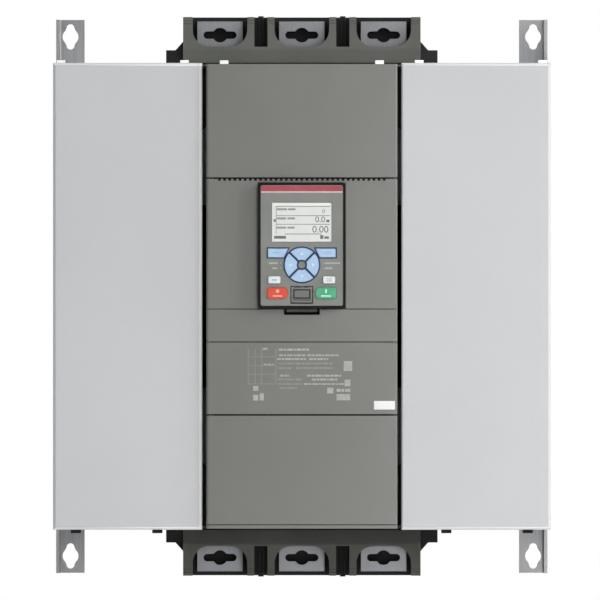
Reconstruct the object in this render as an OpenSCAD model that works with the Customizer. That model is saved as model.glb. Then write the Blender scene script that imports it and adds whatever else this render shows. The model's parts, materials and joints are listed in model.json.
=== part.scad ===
// Three-phase soft starter for wall mounting, all sizes in millimetres.
// The wall is the plane y = 0 and the front looks along -Y.
// z = 0 lies midway between the mounting holes. Depths count from the wall to the front.

/* [Heat sinks and modules] */
// Width of one heat sink
sink_w = 128; // [110:1:140]
// Depth of one heat sink, fins included
sink_d = 112; // [95:1:130]
// Height of one heat sink
sink_h = 320; // [300:1:345]
// Gap between neighbouring heat sinks
sink_gap = 8; // [4:0.5:16]
// Thickness of the plate that carries the fins
sink_base_t = 14; // [8:1:20]
// Number of fins on one heat sink
fin_count = 15; // [9:1:19]
// Thickness of a fin at its root
fin_root_t = 3.4; // [2.6:0.1:4.5]
// Thickness of a fin at its tip
fin_tip_t = 2; // [1.2:0.1:2.5]
// Free width between the stack and the chassis at each side
side_room = 14.5; // [8:0.5:25]
// Width of a thyristor module
thyristor_w = 62; // [50:1:80]
// Height of a thyristor module
thyristor_h = 140; // [124:1:150]
// Depth of a thyristor module
thyristor_d = 43; // [35:1:50]
// Thickness of a module's metal foot
thyristor_foot_t = 5; // [3:0.5:8]
// Height of a module's terminal pads
thyristor_pad_h = 8; // [4:0.5:12]
// Length of a module's bare foot at each end
thyristor_end = 14; // [11:0.5:16]
// Set-back of a module's case at each side of its foot
thyristor_inset = 4; // [2:0.5:8]
// Chamfer round the top of a module's case
thyristor_chamfer = 3; // [1:0.5:4]
// Width of the fixing slots in a module's foot
thyristor_slot_w = 6.5; // [5:0.5:8]

/* [Fans] */
// Side of the square fan frame
fan_w = 119; // [105:1:124]
// Thickness of a fan
fan_t = 38; // [32:1:42]
// Wall of the fan frame beside its bore
fan_rim = 2.5; // [1.5:0.25:4]
// Radius of the rotor's hub
fan_hub_r = 20; // [14:0.5:24]
// Radius of the rotor's shaft
fan_shaft_r = 2; // [1.5:0.25:3]
// Running clearance of the shaft in its bearing
shaft_clear = 0.05; // [0.02:0.01:0.1]
// Clearance of the blade tips in the bore
blade_clear = 1.5; // [1:0.25:3]
// Number of blades on a rotor
blade_count = 7; // [5:1:9]
// Thickness of a blade
blade_t = 2; // [1.5:0.1:2.5]
// Radius of a blade's curve
blade_curve_r = 70; // [60:1:90]
// Angle of a blade to the rotor's plane
blade_angle = 45; // [40:1:50]
// Thickness of the fan frame's flanges
fan_flange_t = 5; // [3:0.5:8]
// Radius of the fan frame's corners
fan_corner_r = 5; // [3:0.5:8]
// Distance of a fan's screw holes from its sides
fan_hole_edge = 7; // [6:0.25:8]
// Diameter of a fan's screw holes
fan_hole_d = 4.4; // [3.5:0.1:5]
// Thickness of a fan's motor plate and struts
strut_t = 4; // [3:0.25:6]
// Width of a strut
strut_w = 6; // [4:0.5:9]
// Number of rings in a fan's grille
grille_rings = 4; // [3:1:4]
// Distance between the rings of a fan's grille
grille_pitch = 11; // [10:0.25:12]
// Width of the bars in a fan's grille
grille_bar = 3; // [2:0.25:5]
// Height of the rotor above the fan's inlet
hub_lift = 3; // [2:0.25:5]
// Running gap between the rotor and the motor plate
rotor_gap = 0.4; // [0.3:0.05:1]
// Space between the fans and the heat sinks
duct_gap = 10; // [6:1:20]
// Space above the heat sinks
head_room = 33; // [25:1:50]

/* [Bypass contactors and current transformers] */
// Width of a bypass contactor
contactor_w = 104; // [90:1:112]
// Height of a bypass contactor
contactor_h = 160; // [140:1:170]
// Depth of a bypass contactor
contactor_d = 115; // [100:1:130]
// Depth of a contactor's terminal deck
contactor_deck_d = 52; // [40:1:64]
// Set-back of a contactor's arc chamber at each end
contactor_step = 22; // [14:1:30]
// Chamfer round a contactor's deck
contactor_chamfer = 3; // [1:0.5:3.5]
// Set-back of a contactor's arc chamber at each side
contactor_inset = 5; // [4:0.5:10]
// Depth of the sloped cap on an arc chamber
contactor_cap_d = 10; // [6:0.5:16]
// Set-back of the cap's front
contactor_cap_in = 12; // [6:0.5:16]
// Width of a contactor's terminal bay
contactor_bay_w = 20; // [14:0.5:24]
// Distance between a contactor's terminal bays
contactor_bay_pitch = 30; // [26:0.5:32]
// Depth of a contactor's terminal bay
contactor_bay_d = 24; // [14:1:30]
// Number of vents in the front of an arc chamber
chute_count = 6; // [3:1:8]
// Width of a vent in the front of an arc chamber
chute_w = 3; // [2:0.25:4]
// Space between the contactors and the control housing
contactor_gap = 7; // [3:0.5:15]
// Width of a current transformer
ct_w = 74; // [66:1:90]
// Height of a current transformer
ct_h = 24; // [16:1:28]
// Depth of a current transformer
ct_d = 46; // [34:1:50]
// Radius of a transformer's corners
ct_r = 9; // [4:0.5:12]
// Height of the rims of a transformer
ct_rim = 5; // [3:0.5:7]
// Set-back of a transformer's winding behind its rims
ct_waist = 2; // [1:0.25:4]
// Clearance of a busbar in its transformer
ct_clear = 0.3; // [0.2:0.05:0.6]
// Space between a contactor and its transformer
ct_gap = 8; // [4:1:12]

/* [Busbars] */
// Distance between neighbouring terminals
pole_pitch = 72; // [66:0.5:78]
// Width of a busbar
bar_w = 40; // [34:0.5:42]
// Thickness of a busbar
bar_t = 10; // [6:0.5:12]
// Half of the gap between line and load busbars
bar_in = 18; // [12:1:24]
// Diameter of the terminal bolt hole
bar_hole_d = 13; // [11:0.5:14]
// Width of the cross slot
bar_slot_w = 6.5; // [5:0.5:7.5]
// Length of the cross slot
bar_slot_len = 29; // [20:0.5:31]
// Distance of the hole from the busbar's end
bar_hole_edge = 12; // [10:0.5:14]
// Straight length of a busbar past its transformer
bar_straight = 14; // [10:0.5:18]
// Straight length of a busbar inside the end plate
bar_neck = 10.5; // [9:0.5:14]
// Set-back of the terminal pads from a busbar's edges
pad_side = 4; // [2:0.5:8]
// Set-back of the terminal pads from a busbar's inner end
pad_end = 2; // [1:0.5:6]
// Distance of the busbar's end below the top of the terminal block
bar_end_drop = 4.5; // [2:0.5:6]

/* [Terminal blocks] */
// Height of a terminal block above the covers
terminal_h = 42.5; // [40:0.5:50]
// Height of the base under the pockets
base_h = 14; // [11:0.5:15]
// Thickness of the base's back wall
base_back_t = 5.5; // [4.5:0.5:8]
// Depth of the ribs behind the back wall
base_rib_d = 13; // [6:1:20]
// Width of a lug beside the block
lug_w = 15; // [12:0.5:20]
// Width of the gusset over a lug
gusset_w = 6.7; // [4:0.1:9]
// Height of the gusset over a lug
gusset_h = 7.6; // [4:0.1:10]
// Depth of a cable pocket in front of the busbar
pocket_d = 32; // [28:0.5:40]
// Width of a cable pocket
pocket_w = 48; // [46:0.5:50]
// Radius at the bottom corners of a cable pocket
pocket_r = 15; // [6:0.5:16]
// Wall of the shroud
shroud_wall = 3; // [2:0.25:3.5]
// Width of the shroud outside the outer pockets
shroud_end = 8.4; // [6:0.1:12]
// Gap under the shroud's front band
shroud_lift = 3; // [1.5:0.25:4]
// Backward slope of the shroud's front band
band_slope = 8; // [4:0.5:10]
// Drop of the band's upper edge below the cable pockets
band_drop = 2; // [1:0.25:4]
// Distance of the upper line on the pillars below the shroud's top
line_drop = 3.6; // [2:0.1:6]
// Distance between the two lines on the pillars
line_pitch = 2.6; // [1.5:0.1:4]
// Width and depth of the lines on the pillars
line_w = 0.5; // [0.3:0.1:1]
// Width of the barrier slots between the pockets
barrier_slot_w = 11.5; // [9:0.5:12.5]
// Depth of a phase barrier in front of the busbars
barrier_d = 20; // [12:0.5:22]
// Drop of a phase barrier below the shroud's top
barrier_drop = 1.6; // [1:0.1:3]
// Distance between the grooves in a phase barrier
groove_pitch = 3.2; // [2.8:0.1:3.4]
// Width of a groove in a phase barrier
groove_w = 1.4; // [1:0.1:2]
// Depth of a groove in a phase barrier
groove_d = 2; // [1:0.25:4]
// Radius of the pin on a phase barrier
barrier_pin_r = 2.4; // [1.8:0.1:3.5]
// Distance of the pin behind the barrier's front
barrier_pin_in = 8; // [5:0.5:10]
// Thickness of the ribs behind the back wall
base_rib_t = 4; // [3:0.25:6]
// Drop of the ribs below the shroud's top
base_rib_drop = 6; // [3:0.5:12]
// Margin of the bolt recesses in the back wall
window_side = 2; // [1:0.25:4]
// Depth of the bolt recesses in the back wall
bolt_room = 3.5; // [2:0.25:4]
// Clearance of fixed plastic pieces round metal
fit_clear = 0.3; // [0.2:0.05:0.5]
// Rise of the barrier pins over the shroud
pin_rise = 0.9; // [0.5:0.1:2]

/* [Sheet metal] */
// Thickness of the chassis sheet
chassis_t = 3; // [2:0.25:4]
// Outer bend radius of the chassis
chassis_bend = 4.5; // [4.25:0.25:6]
// Depth of the chassis flanges
flange_d = 32; // [28:1:40]
// Width of a mounting ear
ear_w = 25; // [22:0.5:32]
// Height of a mounting ear beyond the covers
ear_h = 41; // [36:0.5:48]
// Distance of a mounting hole from the ear's end
ear_hole_edge = 15; // [13:0.5:17]
// Diameter of a keyhole's round part
keyhole_d = 14; // [10:0.5:16]
// Width of a keyhole's slot
keyhole_slot_w = 7; // [5:0.5:9]
// Length of a keyhole over its slot
keyhole_len = 22.4; // [18:0.2:24]
// Thickness of the side covers
cover_t = 1.5; // [1:0.25:2]
// Outer bend radius of the side covers
cover_bend = 3; // [2.5:0.25:5]
// Depth of a side cover's inner return
cover_return = 30; // [15:1:34]
// Depth of a side cover's top and bottom flanges
cover_flange = 15; // [8:0.5:20]
// Gap at the corners and joints of the covers
cover_gap = 0.5; // [0.3:0.1:1]
// Width of a side cover's screw laps
lap_w = 40; // [30:1:50]
// Reach of a screw lap past its screw
lap_reach = 10; // [8:0.5:12]
// Distance of the cover screws behind the chassis flange's edge
screw_back = 12; // [9:0.5:14]
// Distance between the cover screws
screw_pitch = 120; // [80:1:140]
// Radius of a cover screw
screw_r = 2.5; // [2:0.25:3]
// Clearance round a cover screw
screw_clear = 0.1; // [0.05:0.05:0.3]
// Thickness of the end plates
plate_t = 2; // [1.5:0.25:3]
// Width of an upright tab on the top plate
tab_w = 7.5; // [5:0.5:10]
// Rise of a tab above the top plate
tab_h = 4; // [3:0.5:7]
// Distance of the inner tabs from the covers' inner edges
tab_in = 15.6; // [10:0.1:18]
// Distance of the outer tabs from the chassis sides
tab_out = 0.2; // [0.2:0.1:4]
// Distance of the middle tabs from the front's sides
tab_front_in = 15.5; // [10:0.5:24]
// Free width round the busbars in the end plates
bar_room = 3; // [2:0.25:5]
// Solid width beside the vent slots
vent_side = 10; // [6:0.5:14]
// Distance of the vent slots from the chassis back
vent_back = 12; // [8:0.5:16]
// Number of vent slots over each heat sink
vent_count = 12; // [6:1:13]
// Width of a vent slot
vent_w = 4; // [2:0.5:5]
// Length of a vent slot
vent_len = 80; // [50:1:92]
// Width of a rubber clip under a cover
clip_w = 9; // [6:0.5:12]
// Distance of the inner clips from the covers' inner edges
clip_in = 39.3; // [20:0.1:60]
// Distance of the outer clips from the covers' outer edges
clip_out = 20; // [12:0.5:40]
// Height of a rubber clip under a cover
clip_h = 3; // [2:0.5:5]

/* [Plastic front] */
// Width of the plastic front
front_w = 167; // [162:1:176]
// Gap between the front and the side covers
front_gap = 3.5; // [2:0.5:6]
// How far the front stands proud of the side covers
front_proud = 4; // [1:0.5:8]
// Wall of the front covers
front_wall = 3; // [2:0.25:3.5]
// Depth of the front covers' sides
front_side = 40; // [25:1:44]
// Radius of the front covers' edges
front_r = 2; // [1:0.25:4]
// Gap above and below the front
front_end_gap = 1; // [1:0.25:4]
// Height of the upper cover
upper_h = 99; // [90:0.5:104]
// Height of the label panel
label_h = 62.6; // [56:0.2:70]
// Height of the plain strip under the keypad
strip_h = 29.2; // [22:0.2:34]
// Main joints between the covers
seam = 1.4; // [0.8:0.1:2]
// Fine joint over the label panel
fine_seam = 0.8; // [0.4:0.1:1.5]
// Distance between the vent notches over the keypad
notch_pitch = 4.5; // [4:0.1:5]
// Width of a vent notch
notch_w = 2.2; // [1.5:0.1:3]
// Height of a vent notch
notch_h = 1.6; // [1:0.1:1.8]
// Height of the lip under the lower cover
lip_h = 3; // [2:0.25:5]
// Number of vent notches
notch_count = 33; // [21:2:33]
// Depth of the control housing
housing_d = 59; // [54:1:70]
// Wall of the control housing
housing_wall = 2.5; // [2:0.25:3.5]
// Radius of the control housing's corners
housing_r = 6; // [3:0.5:10]
// Width of a bracket that carries the control housing
bracket_w = 16; // [10:0.5:24]
// Distance of the brackets from the middle
bracket_x = 55; // [40:1:65]
// Height of the posts under the control board
board_post = 7.5; // [5:0.5:10]
// Radius of the posts under the control board
post_r = 4; // [3:0.25:6]
// Distance of the posts from the housing's sides
post_side = 18; // [14:0.5:24]
// Distance of the outer posts from the housing's ends
post_end = 50; // [44:1:60]

/* [Control board] */
// Thickness of the circuit boards
board_t = 1.6; // [1.2:0.1:2.4]
// Gap between the control board and the housing's sides
board_side = 8; // [5:0.5:14]
// Gap between the control board and the housing's ends
board_end = 34; // [26:1:40]
// Number of wire terminals on the control board
plug_count = 9; // [5:1:9]
// Distance between the wire terminals
plug_pitch = 13; // [12:0.25:14]
// Width of a wire terminal
plug_w = 11; // [8:0.25:11.5]
// Height of a wire terminal
plug_h = 16; // [12:0.5:22]
// Depth of a wire terminal
plug_d = 18; // [12:0.5:24]
// Diameter of a wire terminal's entry
plug_hole_d = 6; // [4:0.25:7]
// Distance of the wire terminals below the board's end
plug_drop = 16; // [10:0.5:30]
// Width of the supply transformer
core_w = 40; // [30:1:46]
// Height of the supply transformer
core_h = 38; // [30:1:44]
// Depth of the supply transformer
core_d = 24; // [18:0.5:28]
// Height of the supply's middle below the housing's middle
supply_drop = 71; // [66:1:80]
// Distance of the transformer's middle from the housing's middle
core_x = 32; // [26:1:36]
// Radius of a supply capacitor
cap_r = 9; // [6:0.25:10]
// Depth of a supply capacitor
cap_d = 22; // [16:0.5:28]
// Distance between the supply capacitors
cap_pitch = 24; // [21:0.5:28]
// Side of the processor
chip_w = 28; // [20:0.5:34]
// Number of relays
relay_count = 4; // [2:1:4]
// Distance between the relays
relay_pitch = 30; // [26:0.5:32]
// Width of a relay
relay_w = 20; // [14:0.5:24]
// Height of a relay
relay_h = 26; // [20:0.5:30]
// Depth of a relay
relay_d = 16; // [12:0.5:20]
// Height of the relays' middle below the housing's middle
relay_drop = 127; // [120:1:132]

/* [Keypad] */
// Width of the keypad
keypad_w = 76; // [74:0.5:82]
// Height of the keypad
keypad_h = 109.5; // [108:0.5:116]
// Depth of the keypad
keypad_d = 24; // [20:0.5:26]
// How far the keypad stands out of the front
keypad_proud = 8; // [5:0.5:10]
// Distance of the keypad below the joint over it
keypad_drop = 3.4; // [2:0.1:5]
// Clearance of the keypad in its bay
bay_clear = 0.4; // [0.3:0.05:0.8]
// Wall of the keypad's bay
bay_wall = 2; // [1.5:0.25:3]
// Radius of the keypad's corners
keypad_r = 3; // [1.5:0.25:4]
// Width of the rim round the keypad's face
rim_w = 2.1; // [1.6:0.1:2.6]
// Thickness of the keypad's face
face_t = 2.5; // [2.3:0.1:3]
// Ledge behind the edge of the keypad's face
ledge_w = 1.2; // [1:0.1:1.6]
// Back wall of the keypad
keypad_back = 2; // [1.5:0.25:3]
// Radius of the posts under the key board
key_post_r = 2.5; // [2:0.25:3.5]
// Distance of the key board's posts from the face's sides
key_post_side = 6; // [5:0.25:8]
// Gap between the key board and the face's sides
key_board_side = 2.4; // [2:0.1:4]
// Set-back of the face behind the rim
face_drop = 0.2; // [0.1:0.05:0.4]
// Clearance of the face in the rim
face_clear = 0.1; // [0.05:0.05:0.2]
// Width of the display window
display_w = 52.4; // [48:0.2:56]
// Height of the display window
display_h = 34.4; // [30:0.2:36]
// Height of the display's middle above the keypad's middle
display_z = 20.3; // [19.5:0.1:22]
// Width of the display's frame behind the face
display_rim = 2; // [1:0.25:3]
// Diameter of a status light
light_d = 1.8; // [1.4:0.1:2.2]
// Distance of the status lights from the middle
light_x = 18.4; // [18:0.1:19]
// Drop of the upper status lights below the keypad's middle
light_drop = 15.2; // [14.5:0.1:15.5]
// Distance between two status lights
light_pitch = 4.4; // [3:0.1:5]
// Height of a key above the face
key_proud = 1.2; // [0.6:0.1:2]
// Travel of a key
key_travel = 0.8; // [0.5:0.1:1]
// Clearance of a key in its hole
key_clear = 0.25; // [0.2:0.05:0.4]
// Lip of a key behind the face
key_lip = 0.55; // [0.5:0.05:0.6]
// Distance of a soft key's outer edge from the middle
soft_key_out = 29.4; // [28:0.1:31]
// Distance of a soft key's inner corner from the middle
soft_key_in = 12.2; // [11.8:0.1:14]
// Slant of a soft key's inner edge
soft_key_slant = 3.6; // [2:0.1:5]
// Height of a soft key
soft_key_h = 7.5; // [6:0.1:8]
// Drop of a soft key's middle below the keypad's middle
soft_key_drop = 6.55; // [6.4:0.05:6.8]
// Distance of a small key's middle from the middle
small_key_x = 23.9; // [22:0.1:26]
// Drop of a small key's middle below the keypad's middle
small_key_drop = 30.1; // [29:0.1:30.5]
// Width of a small key
small_key_w = 10.4; // [8:0.1:11]
// Height of a small key
small_key_h = 6; // [5:0.1:7]
// Distance of a run key's middle from the middle
run_key_x = 21.2; // [20.8:0.1:23]
// Drop of a run key's middle below the keypad's middle
run_key_drop = 41.6; // [41:0.1:43]
// Width of a run key
run_key_w = 17.6; // [15:0.1:18]
// Height of a run key
run_key_h = 9.7; // [8:0.1:10.5]
// Radius of a run key's inner corners
run_key_r = 3.8; // [2:0.1:4]
// Radius of a run key's outer corners
run_key_r2 = 1.6; // [1:0.1:2.5]
// Width of the stem behind a key
stem_w = 2.4; // [2:0.1:3.2]
// Drop of the arrow keys' middle below the keypad's middle
arrow_drop = 17; // [16.5:0.1:17.5]
// Outer radius of the arrow keys
arrow_r = 14.8; // [13:0.1:15.2]
// Inner radius of the arrow keys
arrow_in_r = 4.6; // [3.5:0.1:6]
// Gap between two arrow keys
arrow_gap = 1.8; // [1.7:0.1:2.4]
// Drop of the dust flap's middle below the keypad's middle
flap_drop = 43.25; // [42.5:0.05:43.5]
// Width of the service socket
usb_w = 12; // [9:0.5:13]
// Height of the service socket
usb_h = 5.6; // [4:0.1:7]
// Wall of the service socket
usb_wall = 1.4; // [0.8:0.1:1.5]
// Width of the dust flap
flap_w = 17.4; // [14:0.2:18]
// Height of the dust flap
flap_h = 13.3; // [11:0.1:13.6]
// Thickness of the dust flap
flap_t = 2.2; // [2.1:0.05:2.3]
// Clearance round the dust flap
flap_clear = 0.3; // [0.2:0.05:0.4]
// Radius of the dust flap's hinge pins
pin_r = 0.6; // [0.5:0.05:0.65]
// Width of the plug behind the keypad
socket_w = 14; // [10:0.5:20]
// Height of the plug behind the keypad
socket_h = 10; // [8:0.5:14]
// Reach of the plug behind the keypad
socket_d = 5; // [3:0.5:6]
// Height of the plug's middle above the keypad's middle
socket_z = 32; // [20:0.5:40]
// Clearance of the plug in its window
socket_clear = 1; // [0.5:0.1:2]
// Width of the catch's slot under the keypad
latch_slot_w = 31.5; // [28:0.5:36]
// Height of the catch's slot under the keypad
latch_slot_h = 5.9; // [5.6:0.1:8]
// Width of the catch
latch_w = 26.8; // [22:0.2:27]
// Height of the catch
latch_h = 2.9; // [2:0.1:3]

/* [Hidden] */
$fn = 64;

// Overall width and height follow from the power stack
phase_pitch = sink_w + sink_gap;
inner_x = phase_pitch + sink_w / 2 + side_room;
half_w = inner_x + chassis_t;
body_z = cover_t + plate_t + (fan_t + duct_gap + sink_h + head_room) / 2;
deck_z = body_z - cover_t;
deck_in = deck_z - plate_t;
sink_z0 = -deck_in + fan_t + duct_gap;

// Depths of the stack, from the wall
sink_d1 = chassis_t + sink_d;
bar_d0 = sink_d1 + thyristor_d;
bar_d1 = bar_d0 + bar_t;
contactor_d1 = bar_d1 + contactor_d;
housing_d0 = contactor_d1 + contactor_gap;
housing_d1 = housing_d0 + housing_d;
front_d = housing_d1 + front_wall;
body_d = front_d - front_proud;

// Busbars
block_z = body_z + terminal_h - pin_rise;
bar_end = body_z + terminal_h - bar_end_drop;
bar_hole_z = bar_end - bar_hole_edge;
ct_z0 = contactor_h / 2 + ct_gap;
jog_lo = ct_z0 + ct_h + bar_straight;
jog_hi = deck_in - bar_neck;

// Terminal blocks
base_z = deck_z + base_h;
pocket_z = base_z + shroud_wall;
shroud_d1 = bar_d1 + pocket_d;
base_d0 = bar_d0 - base_back_t;
base_d1 = shroud_d1 - shroud_wall - band_slope;
block_x = pole_pitch + pocket_w / 2 + shroud_end;

// Chassis and covers
ear_z = body_z + ear_h;
hole_z = ear_z - ear_hole_edge;
hole_x = half_w - ear_w / 2;
cover_x0 = front_w / 2 + front_gap;
cover_d0 = flange_d + fit_clear;
screw_d = flange_d - screw_back;
screw_head_r = screw_r + 2;
notch_d = front_d - front_side - cover_gap;

// Plastic front
front_z = body_z - front_end_gap;
panel_z1 = front_z - upper_h - seam;
keypad_z1 = panel_z1 - keypad_drop;
keypad_z0 = keypad_z1 - keypad_h;
panel_z0 = keypad_z0 - strip_h;
label_z1 = panel_z0 - fine_seam;
label_z0 = label_z1 - label_h;
lower_z1 = label_z0 - seam;
housing_x = front_w / 2 - front_wall - fit_clear;
housing_z = front_z - front_wall;
board_d0 = housing_d0 + housing_wall + board_post;
board_d1 = board_d0 + board_t;

// Keypad
keypad_z = keypad_z0 + keypad_h / 2;
keypad_d1 = front_d + keypad_proud;
keypad_d0 = keypad_d1 - keypad_d;
face_w = keypad_w - 2 * rim_w;
face_h = keypad_h - 2 * rim_w;
face_d1 = keypad_d1 - face_drop;
face_d0 = face_d1 - face_t;
lip_d1 = face_d0 - 0.1;
lip_d0 = lip_d1 - 1;
stem_d0 = lip_d0 - 0.8;
key_board_d1 = stem_d0 - key_travel - 0.1;
key_board_d0 = key_board_d1 - board_t;
key_d1 = face_d1 + key_proud;
flap_z = -flap_drop;
flap_axis_z = flap_z - flap_h / 2 + flap_t / 2;
flap_d1 = face_d1 + 0.2;
flap_axis_d = flap_d1 - flap_t / 2;

// Box between two x values, two depths and two heights
module slab(x, d, z) {
    translate([x[0], -d[1], z[0]]) cube([x[1] - x[0], d[1] - d[0], z[1] - z[0]]);
}

// Outline seen from the front, given thickness between two depths
module front_extrude(d) {
    translate([0, -d[0], 0]) rotate([90, 0, 0]) linear_extrude(d[1] - d[0]) children();
}

// Outline seen from the side, given width between two x values
module side_extrude(x) {
    translate([x[0], 0, 0]) rotate([90, 0, 90]) linear_extrude(x[1] - x[0]) children();
}

module rounded_rect(w, h, r) {
    square([w - 2 * r, h], center = true);
    square([w, h - 2 * r], center = true);
    for (x = [-1, 1], y = [-1, 1])
        translate([x * (w / 2 - r), y * (h / 2 - r)]) circle(r);
}

// Outline from the points of its right half, from the back to the front
function both_sides(p) = concat(p, [for (k = [len(p) - 1 : -1 : 0]) [-p[k][0], p[k][1]]]);

// Quarter of a ring in the corner where x and y are above zero
module bend(r, t) {
    intersection() {
        difference() {
            circle(r);
            circle(r - t);
        }
        square(r);
    }
}

// Chassis

module keyhole() {
    slot_end = (keyhole_len - keyhole_slot_w) / 2;
    circle(d = keyhole_d);
    polygon([[keyhole_slot_w / 2, -slot_end], [keyhole_d / 2, 0], [keyhole_slot_w / 2, slot_end],
        [-keyhole_slot_w / 2, slot_end], [-keyhole_d / 2, 0], [-keyhole_slot_w / 2, -slot_end]]);
    for (s = [-1, 1])
        translate([0, s * slot_end]) circle(d = keyhole_slot_w);
}

module chassis_rail() {
    rotate(180) {
        translate([chassis_bend, 0]) square([ear_w - chassis_bend, chassis_t]);
        translate([0, chassis_bend]) square([chassis_t, flange_d - chassis_bend]);
        translate([chassis_bend, chassis_bend]) rotate(180) bend(chassis_bend, chassis_t);
    }
}

module screw_hole(grow) {
    rotate([0, 90, 0]) {
        translate([0, 0, -12]) cylinder(r = screw_r + grow, h = 12);
        translate([0, 0, -screw_head_r + screw_r])
            cylinder(r1 = screw_r + grow, r2 = screw_head_r + grow, h = screw_head_r - screw_r);
    }
}

module each_screw() {
    for (s = [0, 1], k = [-1, 0, 1])
        mirror([s, 0, 0]) translate([half_w, -screw_d, k * screw_pitch]) children();
}

module chassis_tray() color("#b4b5b3") difference() {
    union() {
        for (s = [0, 1])
            mirror([s, 0, 0]) translate([half_w, 0, -ear_z]) linear_extrude(2 * ear_z) chassis_rail();
        slab([-half_w + ear_w / 2, half_w - ear_w / 2], [0, chassis_t], [-body_z, body_z]);
    }
    for (x = [-1, 1], z = [-1, 1])
        front_extrude([-1, chassis_t + 1]) translate([x * hole_x, z * hole_z]) keyhole();
    each_screw() screw_hole(screw_clear);
}

module cover_screws() color("#8d8f90") each_screw() screw_hole(0);

// End plates

module plate_outline() {
    difference() {
        translate([-inner_x, -body_d + cover_bend])
            square([2 * inner_x, body_d - cover_bend - chassis_t]);
        translate([-cover_x0 - cover_t - cover_gap, -body_d])
            square([2 * (cover_x0 + cover_t + cover_gap), body_d - notch_d]);
        translate([-pole_pitch - bar_w / 2 - bar_room, -bar_d1 - bar_room])
            square([2 * (pole_pitch + bar_room) + bar_w, bar_t + 2 * bar_room]);
    }
}

module plate_tabs() {
    tab_d = body_d - cover_flange - cover_gap;
    for (s = [-1, 1]) {
        for (x = [cover_x0 + tab_in, inner_x - tab_w / 2 - tab_out])
            slab([s * x - tab_w / 2, s * x + tab_w / 2], [tab_d - plate_t, tab_d],
                [deck_in, deck_z + tab_h]);
        translate([s * (front_w / 2 - tab_front_in), 0, 0])
            slab([-tab_w / 2, tab_w / 2], [notch_d - plate_t, notch_d], [deck_in, deck_z + tab_h]);
    }
}

module top_plate() color("#cfd0cf") {
    vent_pitch = (sink_w - 2 * vent_side) / vent_count;
    vent_d0 = chassis_t + vent_back;
    difference() {
        translate([0, 0, deck_in]) linear_extrude(plate_t) plate_outline();
        for (i = [-1, 0, 1], k = [0 : vent_count - 1])
            translate([i * phase_pitch + (k - (vent_count - 1) / 2) * vent_pitch, 0, 0])
                slab([-vent_w / 2, vent_w / 2], [vent_d0, vent_d0 + vent_len], [0, deck_z + 1]);
    }
    plate_tabs();
}

module fan_grille() {
    difference() {
        for (k = [1 : grille_rings])
            difference() {
                circle((k + 1) * grille_pitch - grille_bar / 2);
                circle(k * grille_pitch + grille_bar / 2);
            }
        for (a = [45, 135])
            rotate(a) square([2 * (grille_rings + 2) * grille_pitch, grille_bar], center = true);
    }
}

module bottom_plate() color("#cfd0cf") difference() {
    translate([0, 0, -deck_z]) linear_extrude(plate_t) plate_outline();
    for (i = [-1, 0, 1])
        at_fan(i) translate([0, 0, -deck_z - 1]) linear_extrude(plate_t + 2) fan_grille();
}

// Side covers

// Corners of an outline from a back edge to a rounded front, seen from above or from the side
module cover_outline(x, y, r) {
    translate([x[0] + r, y[0]]) square([x[1] - x[0] - 2 * r, y[1] - y[0]]);
    translate([x[0], y[0] + r]) square([x[1] - x[0], y[1] - y[0] - r]);
    for (c = [x[0] + r, x[1] - r])
        translate([c, y[0] + r]) circle(r);
}

// Room that a cover takes up, set in by the given distance and rounded along its front edges
module cover_body(inset, back) {
    y = [inset - body_d, -back];
    z1 = body_z - inset;
    intersection() {
        translate([0, 0, -z1]) linear_extrude(2 * z1)
            cover_outline([cover_x0 + inset, half_w - inset], y, cover_bend - inset);
        side_extrude([cover_x0 + inset, half_w - inset])
            mirror([1, -1]) cover_outline([-z1, z1], y, cover_bend - inset);
    }
}

module side_cover() color("#d2d3d2") difference() {
    lap_x1 = half_w - chassis_t;
    union() {
        difference() {
            cover_body(0, cover_d0);
            cover_body(cover_t, cover_d0 - 1);
            slab([cover_x0 - 1, cover_x0 + cover_t + cover_gap], [0, body_d - cover_return],
                [-body_z - 1, body_z + 1]);
            for (s = [0, 1])
                mirror([0, 0, s]) slab([cover_x0 - 1, half_w - cover_t], [0, body_d - cover_flange],
                    [body_z - cover_t - cover_gap, body_z + 1]);
        }
        for (k = [-1, 0, 1]) {
            lap_z = [k * screw_pitch - lap_w / 2, k * screw_pitch + lap_w / 2];
            slab([lap_x1 - cover_t, lap_x1], [screw_d - lap_reach, cover_d0 + cover_t], lap_z);
            slab([lap_x1 - cover_t, half_w], [cover_d0, cover_d0 + cover_t], lap_z);
        }
    }
    each_screw() screw_hole(screw_clear);
}

module right_side_cover() side_cover();

module left_side_cover() mirror([1, 0, 0]) side_cover();

module bottom_clips() color("#1d1d1d") {
    for (s = [-1, 1], x = [cover_x0 + clip_in, half_w - clip_out])
        slab([s * x - clip_w / 2, s * x + clip_w / 2],
            [body_d - cover_flange + 1, body_d - cover_bend], [-body_z - clip_h, -body_z]);
}

// Heat sinks, thyristors and fans

// Extruded section, seen from above: a plate with tapered fins towards the wall
module sink_profile() {
    fin_pitch = (sink_w - fin_root_t) / (fin_count - 1);
    root_y = sink_base_t - sink_d1;
    fins = [for (k = [0 : fin_count - 1]) let (x = (fin_root_t - sink_w) / 2 + k * fin_pitch)
        each [[x - fin_root_t / 2, root_y], [x - fin_tip_t / 2, -chassis_t],
            [x + fin_tip_t / 2, -chassis_t], [x + fin_root_t / 2, root_y]]];
    polygon(concat([[sink_w / 2, -sink_d1], [-sink_w / 2, -sink_d1]], fins));
}

module heat_sink(i) color("#b7babc")
    translate([i * phase_pitch, 0, sink_z0]) linear_extrude(sink_h) sink_profile();

module heat_sink_left() heat_sink(-1);
module heat_sink_centre() heat_sink(0);
module heat_sink_right() heat_sink(1);

// Chamfered section of a module's case with the given half width
module case_profile(half, d) {
    polygon(both_sides([[half, -d[0]], [half, -d[1] + thyristor_chamfer],
        [half - thyristor_chamfer, -d[1]]]));
}

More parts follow.
